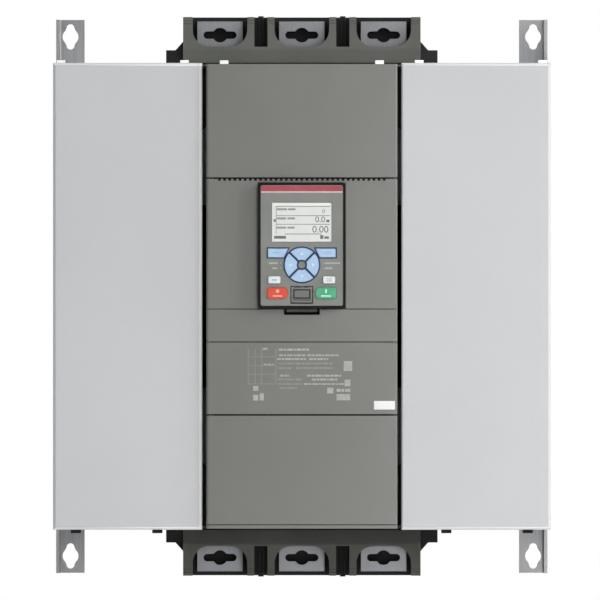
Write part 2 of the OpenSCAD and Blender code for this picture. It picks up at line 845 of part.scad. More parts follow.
module thyristor_foot() {
    slot_z = (thyristor_h - thyristor_end) / 2;
    difference() {
        rounded_rect(thyristor_w, thyristor_h, thyristor_inset);
        for (x = [-1, 1], z = [-1, 1])
            translate([x * (thyristor_w - thyristor_end) / 2, z * slot_z]) {
                circle(d = thyristor_slot_w);
                translate([-thyristor_slot_w / 2, z > 0 ? 0 : -thyristor_end])
                    square([thyristor_slot_w, thyristor_end]);
            }
    }
}

module thyristor(i) color("#33383d") translate([i * phase_pitch, 0, 0]) {
    foot_d1 = sink_d1 + thyristor_foot_t;
    case_d1 = bar_d0 - thyristor_pad_h;
    case_x = thyristor_w / 2 - thyristor_inset;
    case_z = thyristor_h / 2 - thyristor_end;
    pad_z0 = bar_in + pad_end;
    pad_z1 = case_z - thyristor_chamfer - 1;
    front_extrude([sink_d1, foot_d1]) thyristor_foot();
    intersection() {
        translate([0, 0, -case_z]) linear_extrude(2 * case_z) case_profile(case_x, [foot_d1, case_d1]);
        side_extrude([-case_x, case_x]) mirror([1, -1]) case_profile(case_z, [foot_d1, case_d1]);
    }
    for (s = [0, 1])
        mirror([0, 0, s]) front_extrude([case_d1, bar_d0]) translate([0, (pad_z0 + pad_z1) / 2])
            rounded_rect(bar_w - 2 * pad_side, pad_z1 - pad_z0, thyristor_chamfer);
}

module thyristor_left() thyristor(-1);
module thyristor_centre() thyristor(0);
module thyristor_right() thyristor(1);

module at_fan(i) {
    translate([i * phase_pitch, -chassis_t - cover_gap - fan_w / 2, 0]) children();
}

module fan_flange() {
    linear_extrude(fan_flange_t) difference() {
        rounded_rect(fan_w, fan_w, fan_corner_r);
        for (a = [45 : 90 : 315])
            rotate(a) translate([(fan_w / 2 - fan_hole_edge) * sqrt(2), 0]) circle(d = fan_hole_d);
    }
}

module fan_frame(i) color("#26282a") at_fan(i) {
    bore_r = fan_w / 2 - fan_rim;
    translate([0, 0, -deck_in]) {
        difference() {
            union() {
                fan_flange();
                translate([0, 0, fan_t - fan_flange_t]) fan_flange();
                cylinder(d = fan_w - 0.4, h = fan_t);
            }
            translate([0, 0, -1]) cylinder(r = bore_r, h = fan_t + 2);
        }
        translate([0, 0, fan_t - strut_t]) difference() {
            union() {
                cylinder(r = fan_hub_r, h = strut_t);
                for (a = [45, 135])
                    rotate(a) translate([-bore_r - 1, -strut_w / 2, 0])
                        cube([2 * bore_r + 2, strut_w, strut_t]);
            }
            translate([0, 0, -1]) cylinder(r = fan_shaft_r + shaft_clear, h = strut_t + 2);
        }
    }
}

module fan_frame_left() fan_frame(-1);
module fan_frame_centre() fan_frame(0);
module fan_frame_right() fan_frame(1);

// Curved section of a blade, rising through the middle of the hub
module blade_profile() {
    translate([-blade_curve_r * sin(blade_angle), blade_curve_r * cos(blade_angle)]) difference() {
        circle(blade_curve_r);
        circle(blade_curve_r - blade_t);
    }
}

module fan_rotor(i) color("#303335") at_fan(i) translate([0, 0, -deck_in + hub_lift]) {
    tip_r = fan_w / 2 - fan_rim - blade_clear;
    hub_h = fan_t - strut_t - rotor_gap - hub_lift;
    rotate_extrude() polygon([[0, 0], [fan_hub_r - hub_lift, 0], [fan_hub_r, hub_lift], [fan_hub_r, hub_h],
        [fan_shaft_r, hub_h], [fan_shaft_r, hub_h + strut_t], [0, hub_h + strut_t]]);
    intersection() {
        for (k = [0 : blade_count - 1])
            rotate(k * 360 / blade_count) translate([0, 0, hub_h / 2])
                side_extrude([fan_hub_r / 2, tip_r]) intersection() {
                    blade_profile();
                    square([2 * fan_hub_r + 6, hub_h], center = true);
                }
        translate([0, 0, 1]) difference() {
            cylinder(r = tip_r, h = hub_h - 2);
            translate([0, 0, -1]) cylinder(r = fan_hub_r - 1, h = hub_h);
        }
    }
}

module fan_rotor_left() fan_rotor(-1);
module fan_rotor_centre() fan_rotor(0);
module fan_rotor_right() fan_rotor(1);

// Busbars, contactors and current transformers

module bar_outline(i) {
    p = i * pole_pitch;
    q = i * phase_pitch;
    k = bar_w / 2 * tan(atan2(q - p, jog_hi - jog_lo) / 2);
    polygon([[q - bar_w / 2, bar_in], [q - bar_w / 2, jog_lo - k], [p - bar_w / 2, jog_hi - k],
        [p - bar_w / 2, bar_end], [p + bar_w / 2, bar_end], [p + bar_w / 2, jog_hi + k],
        [q + bar_w / 2, jog_lo + k], [q + bar_w / 2, bar_in]]);
}

module busbar(i) color("#b9babd") front_extrude([bar_d0, bar_d1]) difference() {
    bar_outline(i);
    translate([i * pole_pitch, bar_hole_z]) {
        circle(d = bar_hole_d);
        square([bar_slot_len - bar_slot_w, bar_slot_w], center = true);
        for (s = [-1, 1])
            translate([s * (bar_slot_len - bar_slot_w) / 2, 0]) circle(d = bar_slot_w);
    }
}

module line_busbar_left() busbar(-1);
module line_busbar_centre() busbar(0);
module line_busbar_right() busbar(1);
module load_busbar_left() mirror([0, 0, 1]) busbar(-1);
module load_busbar_centre() mirror([0, 0, 1]) busbar(0);
module load_busbar_right() mirror([0, 0, 1]) busbar(1);

// Stepped section of a contactor: deck, arc chamber and sloped cap, given their half widths
module contactor_profile(deck, chamber) {
    deck_d1 = bar_d1 + contactor_deck_d;
    polygon(both_sides([[deck, -bar_d1], [deck, -deck_d1 + contactor_chamfer],
        [deck - contactor_chamfer, -deck_d1], [chamber, -deck_d1], [chamber, -contactor_d1 + contactor_cap_d],
        [chamber - contactor_cap_in, -contactor_d1]]));
}

module bypass_contactor(i) color("#3d4043") translate([i * phase_pitch, 0, 0]) difference() {
    deck_d1 = bar_d1 + contactor_deck_d;
    half_h = contactor_h / 2;
    chamber_z = half_h - contactor_step;
    chamber_x = contactor_w / 2 - contactor_inset;
    intersection() {
        translate([0, 0, -half_h]) linear_extrude(contactor_h) contactor_profile(contactor_w / 2, chamber_x);
        side_extrude([-contactor_w / 2, contactor_w / 2]) mirror([1, -1])
            contactor_profile(half_h, chamber_z);
    }
    for (x = [-1, 0, 1], s = [0, 1])
        mirror([0, 0, s]) translate([x * contactor_bay_pitch, 0, 0])
            slab([-contactor_bay_w / 2, contactor_bay_w / 2], [deck_d1 - contactor_bay_d, deck_d1 + 1],
                [chamber_z + 2 * contactor_chamfer, half_h + 1]);
    for (k = [0 : chute_count - 1])
        translate([(k - (chute_count - 1) / 2) * 3 * chute_w, 0, 0])
            slab([-chute_w / 2, chute_w / 2], [contactor_d1 - contactor_cap_d, contactor_d1 + 1],
                [-chamber_z / 2, chamber_z / 2]);
}

module bypass_contactor_left() bypass_contactor(-1);
module bypass_contactor_centre() bypass_contactor(0);
module bypass_contactor_right() bypass_contactor(1);

module current_transformer(i) color("#22262b") translate([i * phase_pitch, 0, -ct_z0 - ct_h]) {
    bar_mid = (bar_d0 + bar_d1) / 2;
    difference() {
        translate([0, -bar_mid, 0]) {
            linear_extrude(ct_h) rounded_rect(ct_w - 2 * ct_waist, ct_d - 2 * ct_waist, ct_r - ct_waist);
            for (z = [0, ct_h - ct_rim])
                translate([0, 0, z]) linear_extrude(ct_rim) rounded_rect(ct_w, ct_d, ct_r);
        }
        slab([-bar_w / 2 - ct_clear, bar_w / 2 + ct_clear], [bar_d0 - ct_clear, bar_d1 + ct_clear],
            [-1, ct_h + 1]);
    }
}

module current_transformer_left() current_transformer(-1);
module current_transformer_centre() current_transformer(0);
module current_transformer_right() current_transformer(1);

// Terminal blocks

module phase_barrier() {
    d1 = bar_d1 + barrier_d;
    w = barrier_slot_w - 1;
    difference() {
        slab([-w / 2, w / 2], [bar_d0, d1], [base_z, block_z - barrier_drop]);
        for (k = [-1, 0, 1])
            translate([k * groove_pitch, 0, 0])
                slab([-groove_w / 2, groove_w / 2], [d1 - groove_d, d1 + 1], [base_z + groove_d, block_z]);
    }
    translate([0, -d1 + barrier_pin_in, base_z]) cylinder(r = barrier_pin_r, h = block_z + pin_rise - base_z);
}

module terminal_base() color("#2b2d2c") difference() {
    union() {
        slab([-block_x - lug_w, block_x + lug_w], [base_d0, base_d1], [deck_z, base_z]);
        slab([-block_x, block_x], [base_d0, bar_d0], [deck_z, block_z]);
        for (x = [-1, -1 / 3, 1 / 3, 1])
            translate([x * (block_x - base_rib_t), 0, 0]) slab([-base_rib_t / 2, base_rib_t / 2],
                [base_d0 - base_rib_d, base_d0], [deck_z, block_z - base_rib_drop]);
        for (s = [0, 1])
            mirror([s, 0, 0]) {
                front_extrude([base_d0, base_d1])
                    polygon([[block_x, base_z], [block_x + gusset_w, base_z], [block_x, base_z + gusset_h]]);
                translate([pole_pitch / 2, 0, 0]) phase_barrier();
            }
    }
    for (i = [-1, 0, 1])
        translate([i * pole_pitch, 0, 0]) {
            slab([-bar_w / 2 - fit_clear, bar_w / 2 + fit_clear], [bar_d0, bar_d1 + fit_clear],
                [deck_z - 1, base_z + 1]);
            slab([-bar_slot_len / 2 - window_side, bar_slot_len / 2 + window_side],
                [bar_d0 - bolt_room, bar_d0 + 1], [base_z + 1, bar_end - 2 * window_side]);
        }
}

module top_terminal_base() terminal_base();

module bottom_terminal_base() mirror([0, 0, 1]) terminal_base();

module pocket_outline(grow, top) {
    straight_z = pocket_z + pocket_r;
    intersection() {
        union() {
            for (s = [-1, 1])
                translate([s * (pocket_w / 2 - pocket_r), straight_z]) circle(pocket_r + grow);
            translate([-pocket_w / 2 + pocket_r, pocket_z - grow])
                square([pocket_w - 2 * pocket_r, pocket_r + grow]);
            translate([-pocket_w / 2 - grow, straight_z]) square([pocket_w + 2 * grow, top - straight_z]);
        }
        translate([-pocket_w, pocket_z - grow]) square([2 * pocket_w, top - pocket_z + grow]);
    }
}

module shroud_front() {
    side_extrude([-block_x, block_x]) polygon([
        [-shroud_d1, block_z], [-shroud_d1, pocket_z - band_drop],
        [-shroud_d1 + band_slope, deck_z + shroud_lift],
        [-shroud_d1 + band_slope + shroud_wall, deck_z + shroud_lift],
        [-shroud_d1 + shroud_wall, pocket_z - band_drop], [-shroud_d1 + shroud_wall, block_z]]);
}

module terminal_shroud() color("#757672") difference() {
    pocket_d0 = bar_d1 + fit_clear;
    union() {
        shroud_front();
        slab([-block_x, block_x], [pocket_d0, shroud_d1 - shroud_wall], [base_z, pocket_z]);
        for (s = [0, 1])
            mirror([s, 0, 0]) slab([block_x - shroud_wall, block_x], [bar_d0, shroud_d1], [base_z, block_z]);
        for (i = [-1, 0, 1])
            front_extrude([pocket_d0, shroud_d1 - shroud_wall / 2]) translate([i * pole_pitch, 0])
                pocket_outline(shroud_wall, block_z);
    }
    for (i = [-1, 0, 1])
        front_extrude([bar_d0, shroud_d1 + 1]) translate([i * pole_pitch, 0]) pocket_outline(0, block_z + 1);
    for (s = [-1, 1]) {
        slab([s * pole_pitch / 2 - barrier_slot_w / 2, s * pole_pitch / 2 + barrier_slot_w / 2],
            [bar_d0, shroud_d1 - shroud_wall], [base_z - 1, block_z + 1]);
        slab([s * pole_pitch / 2 - barrier_slot_w / 2, s * pole_pitch / 2 + barrier_slot_w / 2],
            [bar_d0, shroud_d1 + 1], [pocket_z, block_z + 1]);
    }
    for (k = [0, 1])
        slab([-block_x - 1, block_x + 1], [shroud_d1 - line_w, shroud_d1 + 1],
            [block_z - line_drop - k * line_pitch, block_z - line_drop - k * line_pitch + line_w]);
}

module top_terminal_shroud() terminal_shroud();

module bottom_terminal_shroud() mirror([0, 0, 1]) terminal_shroud();

// Control housing and board

module each_post() {
    for (x = [-1, 1], z = [-1, 0, 1])
        translate([x * (housing_x - post_side), 0, z * (housing_z - post_end)]) children();
}

module control_housing() color("#4c4e4c") {
    floor_d = housing_d0 + housing_wall;
    difference() {
        front_extrude([housing_d0, housing_d1]) rounded_rect(2 * housing_x, 2 * housing_z, housing_r);
        front_extrude([floor_d, housing_d1 + 1])
            rounded_rect(2 * (housing_x - housing_wall), 2 * (housing_z - housing_wall),
                housing_r - housing_wall);
    }
    each_post() rotate([90, 0, 0]) translate([0, 0, floor_d - 1]) cylinder(r = post_r, h = board_post + 1);
    for (x = [-1, 1], s = [0, 1])
        mirror([0, 0, s]) translate([x * bracket_x, 0, 0])
            slab([-bracket_w / 2, bracket_w / 2], [floor_d, notch_d - plate_t - 1], [housing_z - 1, deck_in]);
}

// Wire terminal seen from the side, with a slope over its entry
module plug_profile() {
    polygon([[0, 0], [-plug_d, 0], [-plug_d, plug_h * 0.6], [-plug_d * 0.6, plug_h], [0, plug_h]]);
}

module wire_terminals() {
    difference() {
        for (k = [0 : plug_count - 1])
            translate([(k - (plug_count - 1) / 2) * plug_pitch, 0, 0])
                side_extrude([-plug_w / 2, plug_w / 2]) plug_profile();
        for (k = [0 : plug_count - 1])
            translate([(k - (plug_count - 1) / 2) * plug_pitch, -plug_d - 1, plug_h * 0.3])
                rotate([-90, 0, 0]) cylinder(d = plug_hole_d, h = plug_d / 2);
    }
}

module control_board() color("#2f6b45") {
    board_z = housing_z - board_end;
    slab([board_side - housing_x, housing_x - board_side], [board_d0, board_d1], [-board_z, board_z]);
    translate([0, -board_d1, 0]) {
        translate([0, 0, board_z - plug_drop - plug_h]) wire_terminals();
        translate([-core_x, 0, -supply_drop]) {
            front_extrude([0, core_d]) rounded_rect(core_w, core_h * 0.7, 2);
            front_extrude([0, core_d * 0.8]) rounded_rect(core_w * 0.6, core_h, 3);
        }
        for (k = [0, 1])
            translate([core_x / 2 + k * cap_pitch, 0, -supply_drop])
                rotate([90, 0, 0]) cylinder(r = cap_r, h = cap_d);
        front_extrude([0, board_t * 2]) rounded_rect(chip_w, chip_w, 1);
        for (k = [0 : relay_count - 1])
            front_extrude([0, relay_d])
                translate([(k - (relay_count - 1) / 2) * relay_pitch, -relay_drop])
                    rounded_rect(relay_w, relay_h, 2);
    }
}

// Plastic front

module front_outline() {
    translate([-front_w / 2, -front_d + front_r]) square([front_w, front_side - front_r]);
    translate([-front_w / 2 + front_r, -front_d]) square([front_w - 2 * front_r, front_side]);
    for (s = [-1, 1])
        translate([s * (front_w / 2 - front_r), -front_d + front_r]) circle(front_r);
}

module front_shell(z) {
    translate([0, 0, z[0]]) linear_extrude(z[1] - z[0]) difference() {
        front_outline();
        translate([-front_w / 2 + front_wall, -front_d + front_wall])
            square([front_w - 2 * front_wall, front_side]);
    }
}

module upper_front_cover() color("#85867f") {
    front_shell([front_z - upper_h, front_z]);
    translate([0, 0, front_z - front_wall]) linear_extrude(front_wall) front_outline();
}

module keypad_panel() color("#85867f") difference() {
    bay_x = keypad_w / 2 + bay_clear;
    slot_x = latch_slot_w / 2;
    slot_z = keypad_z0 - latch_slot_h;
    union() {
        front_shell([panel_z0, panel_z1]);
        slab([-bay_x - bay_wall, bay_x + bay_wall], [keypad_d0 - bay_wall, front_d - front_wall],
            [keypad_z0 - bay_clear - bay_wall, keypad_z1 + bay_clear + bay_wall]);
        slab([-slot_x - bay_wall, slot_x + bay_wall], [keypad_d0 - bay_wall, front_d - front_wall],
            [slot_z - bay_wall, keypad_z0]);
    }
    slab([-bay_x, bay_x], [keypad_d0, front_d + 1], [keypad_z0 - bay_clear, keypad_z1 + bay_clear]);
    slab([-slot_x, slot_x], [keypad_d0, front_d + 1], [slot_z, keypad_z0]);
    front_extrude([keypad_d0 - bay_wall - 1, keypad_d0 + 1]) translate([0, keypad_z + socket_z])
        rounded_rect(socket_w + 2 * socket_clear, socket_h + 2 * socket_clear, 1 + socket_clear);
    slab([-front_w / 2 - 1, front_w / 2 + 1], [front_d - fine_seam, front_d + 1],
        [keypad_z0 - bay_clear - fine_seam, keypad_z0 - bay_clear]);
    for (k = [0 : notch_count - 1])
        translate([(k - (notch_count - 1) / 2) * notch_pitch, 0, 0])
            slab([-notch_w / 2, notch_w / 2], [keypad_d0, front_d + 1],
                [panel_z1 - notch_h, panel_z1 + 1]);
}

module label_panel() color("#85867f") front_shell([label_z0, label_z1]);

module lower_front_cover() color("#85867f") difference() {
    union() {
        front_shell([-front_z, lower_z1]);
        translate([0, 0, -front_z]) linear_extrude(front_wall) front_outline();
    }
    slab([-front_w / 2 - 1, front_w / 2 + 1], [front_d - fine_seam, front_d + 1],
        [lip_h - front_z, lip_h - front_z + fine_seam]);
}

// Keypad

module on_keypad() {
    translate([0, 0, keypad_z]) children();
}

module keypad_latch() color("#4a4b48") {
    latch_z1 = keypad_z0 - 0.6;
    slab([-latch_w / 2, latch_w / 2], [keypad_d0 + fit_clear, front_d + 1], [latch_z1 - latch_h, latch_z1]);
    slab([-latch_slot_w / 2 + fit_clear, latch_slot_w / 2 - fit_clear],
        [keypad_d0 + fit_clear, keypad_d0 + 4], [latch_z1 - latch_h, latch_z1]);
}

module keypad_shell() color("#1c1c1b") on_keypad() {
    difference() {
        front_extrude([keypad_d0, keypad_d1]) rounded_rect(keypad_w, keypad_h, keypad_r);
        front_extrude([face_d0, keypad_d1 + 1])
            rounded_rect(face_w + 2 * face_clear, face_h + 2 * face_clear, keypad_r - 1);
        front_extrude([keypad_d0 + keypad_back, keypad_d1])
            rounded_rect(face_w - 2 * ledge_w, face_h - 2 * ledge_w, keypad_r - 1);
    }
    for (x = [-1, 1], z = [-1, 1])
        translate([x * (face_w / 2 - key_post_side), -keypad_d0 - 1, z * (face_h / 2 - key_post_side)])
            rotate([90, 0, 0]) cylinder(r = key_post_r, h = key_board_d0 - keypad_d0 - 1);
    front_extrude([keypad_d0 - socket_d, keypad_d0 + 1]) translate([0, socket_z])
        rounded_rect(socket_w, socket_h, 1);
}

module key_board() color("#2f6b45") on_keypad() difference() {
    union() {
        front_extrude([key_board_d0, key_board_d1])
            rounded_rect(face_w - 2 * key_board_side, face_h - 2 * key_board_side, 1);
        front_extrude([key_board_d1, face_d0 - 0.2]) translate([0, flap_z])
            rounded_rect(usb_w, usb_h, usb_wall);
    }
    front_extrude([key_board_d1 + 0.5, face_d1]) translate([0, flap_z])
        square([usb_w - 2 * usb_wall, usb_h - 2 * usb_wall], center = true);
}

module display_module() color("#c9cdca") on_keypad() translate([0, 0, display_z]) {
    pane_d0 = face_d0 - 0.1;
    front_extrude([key_board_d1, pane_d0])
        rounded_rect(display_w + 2 * display_rim, display_h + 2 * display_rim, 1);
    front_extrude([pane_d0, face_d1 - 0.4])
        square([display_w - 2 * fit_clear, display_h - 2 * fit_clear], center = true);
}

module each_light() {
    for (s = [-1, 1], k = [0, 1])
        translate([s * light_x, -light_drop - k * light_pitch]) children();
}

module status_lights() color("#7fae86") on_keypad()
    front_extrude([key_board_d1, face_d1 + 0.2]) each_light() circle(d = light_d);

module soft_key_outline(grow) {
    z0 = -soft_key_drop - soft_key_h / 2 - grow;
    z1 = -soft_key_drop + soft_key_h / 2 + grow;
    polygon([[-soft_key_out - grow, z1], [-soft_key_in + grow, z1],
        [-soft_key_in - soft_key_slant + grow, z0], [-soft_key_out - grow, z0]]);
}

module arrow_outline(a, grow) {
    tip = (arrow_gap / 2 - grow) * sqrt(2);
    translate([0, -arrow_drop]) rotate(a) intersection() {
        difference() {
            circle(arrow_r + grow);
            circle(arrow_in_r - grow);
        }
        polygon([[0, tip], [2 * arrow_r, 2 * arrow_r + tip], [-2 * arrow_r, 2 * arrow_r + tip]]);
    }
}

module info_key_outline(grow) {
    translate([-small_key_x, -small_key_drop])
        rounded_rect(small_key_w + 2 * grow, small_key_h + 2 * grow, 1 + grow);
}

module stop_key_outline(grow) {
    translate([-run_key_x, -run_key_drop]) {
        rounded_rect(run_key_w + 2 * grow, run_key_h + 2 * grow, run_key_r + grow);
        translate([-run_key_w / 4, 0])
            rounded_rect(run_key_w / 2 + 2 * grow, run_key_h + 2 * grow, run_key_r2 + grow);
    }
}

module key_stem(x, z) {
    front_extrude([stem_d0, lip_d0]) translate([x, z]) square(stem_w, center = true);
}

module soft_key() {
    front_extrude([lip_d1, key_d1]) soft_key_outline(0);
    front_extrude([lip_d0, lip_d1]) soft_key_outline(key_lip);
    key_stem(-(soft_key_in + soft_key_slant + soft_key_out) / 2, -soft_key_drop);
}

module arrow_key(a) {
    front_extrude([lip_d1, key_d1]) arrow_outline(a, 0);
    front_extrude([lip_d0, lip_d1]) arrow_outline(a, key_lip);
    stem_r = (arrow_r + arrow_in_r) / 2;
    key_stem(-stem_r * sin(a), stem_r * cos(a) - arrow_drop);
}

module small_key() {
    front_extrude([lip_d1, key_d1]) info_key_outline(0);
    front_extrude([lip_d0, lip_d1]) info_key_outline(key_lip);
    key_stem(-small_key_x, -small_key_drop);
}

module run_key() {
    front_extrude([lip_d1, key_d1]) stop_key_outline(0);
    front_extrude([lip_d0, lip_d1]) stop_key_outline(key_lip);
    key_stem(-run_key_x, -run_key_drop);
}

module soft_key_left() color("#a8c2e6") on_keypad() soft_key();
module soft_key_right() color("#a8c2e6") on_keypad() mirror([1, 0, 0]) soft_key();
module arrow_up() color("#a8c2e6") on_keypad() arrow_key(0);
module arrow_down() color("#a8c2e6") on_keypad() arrow_key(180);
module arrow_left() color("#a8c2e6") on_keypad() arrow_key(90);
module arrow_right() color("#a8c2e6") on_keypad() arrow_key(-90);
module info_key() color("#dcdcda") on_keypad() small_key();
module remote_key() color("#dcdcda") on_keypad() mirror([1, 0, 0]) small_key();
module stop_key() color("#d8432f") on_keypad() run_key();
module start_key() color("#3f9c6b") on_keypad() mirror([1, 0, 0]) run_key();

module flap_outline(grow) {
    rounded_rect(flap_w + 2 * grow, flap_h + 2 * grow, 3 + grow);
    translate([-flap_w / 2 - grow, -flap_h / 2 - grow]) square([flap_w + 2 * grow, flap_h / 2]);
}

module flap_pin(r, reach) {
    translate([-flap_w / 2 - reach, -flap_axis_d, flap_axis_z]) rotate([0, 90, 0])
        cylinder(r = r, h = flap_w + 2 * reach);
}

module usb_flap() color("#3a3b39") on_keypad() {
    difference() {
        front_extrude([flap_d1 - flap_t, flap_d1]) translate([0, flap_z]) flap_outline(0);
        slab([-flap_w, flap_w], [face_d0, flap_d1 + 1], [flap_z - flap_h, flap_axis_z]);
    }
    flap_pin(flap_t / 2, 0);
    flap_pin(pin_r, flap_clear + 1);
}

module keypad_face() color("#94968f") on_keypad() difference() {
    front_extrude([face_d0, face_d1]) rounded_rect(face_w, face_h, keypad_r - 1.2);
    front_extrude([face_d0 - 1, face_d1 + 1]) {
        translate([0, display_z]) square([display_w, display_h], center = true);
        translate([0, flap_z]) flap_outline(flap_clear);
        each_light() circle(d = light_d + 0.2);
        for (a = [0, 90, 180, 270])
            arrow_outline(a, key_clear);
        for (s = [0, 1])
            mirror([s, 0]) {
                soft_key_outline(key_clear);
                info_key_outline(key_clear);
                stop_key_outline(key_clear);
            }
    }
    flap_pin(pin_r + shaft_clear, flap_clear + 1.2);
}

chassis_tray();
top_plate();
bottom_plate();
left_side_cover();
right_side_cover();
cover_screws();
bottom_clips();
heat_sink_left();
heat_sink_centre();
heat_sink_right();
thyristor_left();
thyristor_centre();
thyristor_right();
line_busbar_left();
line_busbar_centre();
line_busbar_right();
load_busbar_left();
load_busbar_centre();
load_busbar_right();
bypass_contactor_left();
bypass_contactor_centre();
bypass_contactor_right();
current_transformer_left();
current_transformer_centre();
current_transformer_right();
top_terminal_base();
bottom_terminal_base();
top_terminal_shroud();
bottom_terminal_shroud();
control_housing();
control_board();
upper_front_cover();
keypad_panel();
label_panel();
lower_front_cover();
fan_frame_left();
fan_frame_centre();
fan_frame_right();
fan_rotor_left();
fan_rotor_centre();
fan_rotor_right();
keypad_latch();
keypad_shell();
keypad_face();
display_module();
key_board();
status_lights();
soft_key_left();
soft_key_right();
arrow_up();
arrow_down();
arrow_left();
arrow_right();
info_key();
remote_key();
stop_key();
start_key();
usb_flap();
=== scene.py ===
import bpy
import bmesh
import json
from math import radians
from mathutils import Matrix, Vector

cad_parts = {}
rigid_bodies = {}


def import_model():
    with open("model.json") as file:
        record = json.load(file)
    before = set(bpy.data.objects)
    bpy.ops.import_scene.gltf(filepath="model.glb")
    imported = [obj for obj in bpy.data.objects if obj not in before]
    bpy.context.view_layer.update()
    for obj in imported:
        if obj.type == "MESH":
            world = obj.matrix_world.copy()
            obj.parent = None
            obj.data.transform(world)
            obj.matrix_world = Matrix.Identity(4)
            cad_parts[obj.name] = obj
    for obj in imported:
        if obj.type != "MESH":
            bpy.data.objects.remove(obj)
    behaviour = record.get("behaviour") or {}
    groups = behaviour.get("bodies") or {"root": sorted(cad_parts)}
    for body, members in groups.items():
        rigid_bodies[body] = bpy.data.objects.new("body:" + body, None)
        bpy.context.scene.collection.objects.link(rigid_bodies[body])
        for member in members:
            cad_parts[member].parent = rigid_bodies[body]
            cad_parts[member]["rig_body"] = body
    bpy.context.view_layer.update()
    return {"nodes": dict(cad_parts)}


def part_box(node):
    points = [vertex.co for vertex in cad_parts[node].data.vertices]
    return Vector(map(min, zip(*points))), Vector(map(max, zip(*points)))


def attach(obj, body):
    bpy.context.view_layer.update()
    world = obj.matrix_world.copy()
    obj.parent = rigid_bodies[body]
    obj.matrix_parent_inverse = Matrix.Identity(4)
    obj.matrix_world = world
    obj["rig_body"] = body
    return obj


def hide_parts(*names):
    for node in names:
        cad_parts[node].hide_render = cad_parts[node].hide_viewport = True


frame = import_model()

# Chassis tray
# Back of the case, folded from 3 mm sheet steel, with an ear and a keyhole at each corner.
# The sheet is galvanised, so it shows dull upright rolling streaks.


def linear(code):
    """Linear RGBA of an sRGB hex colour."""
    parts = [int(code[k:k + 2], 16) / 255 for k in (1, 3, 5)]
    return [c / 12.92 if c <= 0.04045 else ((c + 0.055) / 1.055) ** 2.4 for c in parts] + [1.0]


def add_node(material, kind, values=None, links=None):
    """Adds one shader node, sets its sockets or properties and links its inputs."""
    node = material.node_tree.nodes.new("ShaderNode" + kind)
    for key, value in (values or {}).items():
        if isinstance(key, int) or key in node.inputs:
            node.inputs[key].default_value = value
        else:
            setattr(node, key, value)
    for key, source in (links or {}).items():
        material.node_tree.links.new(source, node.inputs[key])
    return node


def blank_material(name):
    """A new material whose node tree is empty."""
    material = bpy.data.materials.new(name)
    material.use_nodes = True
    material.node_tree.nodes.clear()
    return material


def rolled_metal(name, dark, pale, streak, rough):
    """Bare or plated metal with streaks: streak gives their size in mm along x, y and z."""
    cloud_size, streak_share, gloss_spread, streak_depth = 45, 0.6, 0.07, 0.012
    m = blank_material(name)
    place = add_node(m, "TexCoord").outputs["Object"]
    drawn = add_node(m, "Mapping", {"Scale": [1000 / s for s in streak]}, {"Vector": place})
    lines = add_node(m, "TexNoise", {"Scale": 1.0, "Detail": 4.0, "Roughness": 0.6},
                     {"Vector": drawn.outputs["Vector"]})
    cloud = add_node(m, "TexNoise", {"Scale": 1000 / cloud_size, "Detail": 2.0}, {"Vector": place})
    rest = add_node(m, "Math", {"operation": "MULTIPLY", 1: 1 - streak_share}, {0: cloud.outputs["Fac"]})
    both = add_node(m, "Math", {"operation": "MULTIPLY_ADD", 1: streak_share},
                    {0: lines.outputs["Fac"], 2: rest.outputs[0]})
    tone = add_node(m, "ValToRGB", None, {"Fac": both.outputs[0]})
    for stop, place_on, colour in zip(tone.color_ramp.elements, (0.38, 0.62), (dark, pale)):
        stop.position, stop.color = place_on, linear(colour)
    gloss = add_node(m, "MapRange", {"From Min": 0.3, "From Max": 0.7, "To Min": rough - gloss_spread,
                                     "To Max": rough + gloss_spread}, {"Value": lines.outputs["Fac"]})
    relief = add_node(m, "Bump", {"Strength": 0.25, "Distance": streak_depth / 1000},
                      {"Height": lines.outputs["Fac"]})
    shader = add_node(m, "BsdfPrincipled", {"Metallic": 1.0},
                      {"Base Color": tone.outputs["Color"], "Roughness": gloss.outputs[0],
                       "Normal": relief.outputs["Normal"]})
    add_node(m, "OutputMaterial", None, {"Surface": shader.outputs["BSDF"]})
    return m


def dressed(node, material):
    """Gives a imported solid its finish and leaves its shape."""
    piece = frame["nodes"][node]
    piece.data.materials.clear()
    piece.data.materials.append(material)
    return piece


def worked(node, edge, material, sharp=35):
    """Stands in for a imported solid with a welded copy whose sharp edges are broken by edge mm."""
    weld_gap, flat_angle, short_edge = 0.00002, 0.5, 2.5
    solid = frame["nodes"][node]
    bm = bmesh.new()
    bm.from_mesh(solid.data)
    bmesh.ops.remove_doubles(bm, verts=bm.verts, dist=weld_gap)
    bmesh.ops.dissolve_limit(bm, angle_limit=radians(flat_angle), verts=bm.verts, edges=bm.edges)
    size = edge / 1000
    corners = [e for e in bm.edges if e.is_manifold and e.calc_face_angle(0) > radians(sharp)
               and e.calc_length() > short_edge * size]
    bmesh.ops.bevel(bm, geom=corners, offset=size, offset_type="OFFSET", affect="EDGES", segments=2,
                    profile=0.5, material=-1, clamp_overlap=True)
    for face in bm.faces:
        face.smooth = True
    for e in bm.edges:
        e.smooth = e.calc_face_angle(0) < radians(sharp)
    mesh = bpy.data.meshes.new(node + "_finished")
    bm.to_mesh(mesh)
    bm.free()
    mesh.materials.append(material)
    piece = bpy.data.objects.new(node + "_finished", mesh)
    bpy.context.scene.collection.objects.link(piece)
    piece.modifiers.new("even_shading", "WEIGHTED_NORMAL").keep_sharp = True
    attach(piece, solid["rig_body"])
    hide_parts(node)
    return piece


# Galvanised sheet: upright rolling streaks about 1.5 mm wide, a soft dull shine.
galvanised = rolled_metal("galvanised_steel_sheet", "#757678", "#8d8e90", (1.5, 1.5, 60), 0.42)
worked("chassis_tray", 0.4, galvanised)

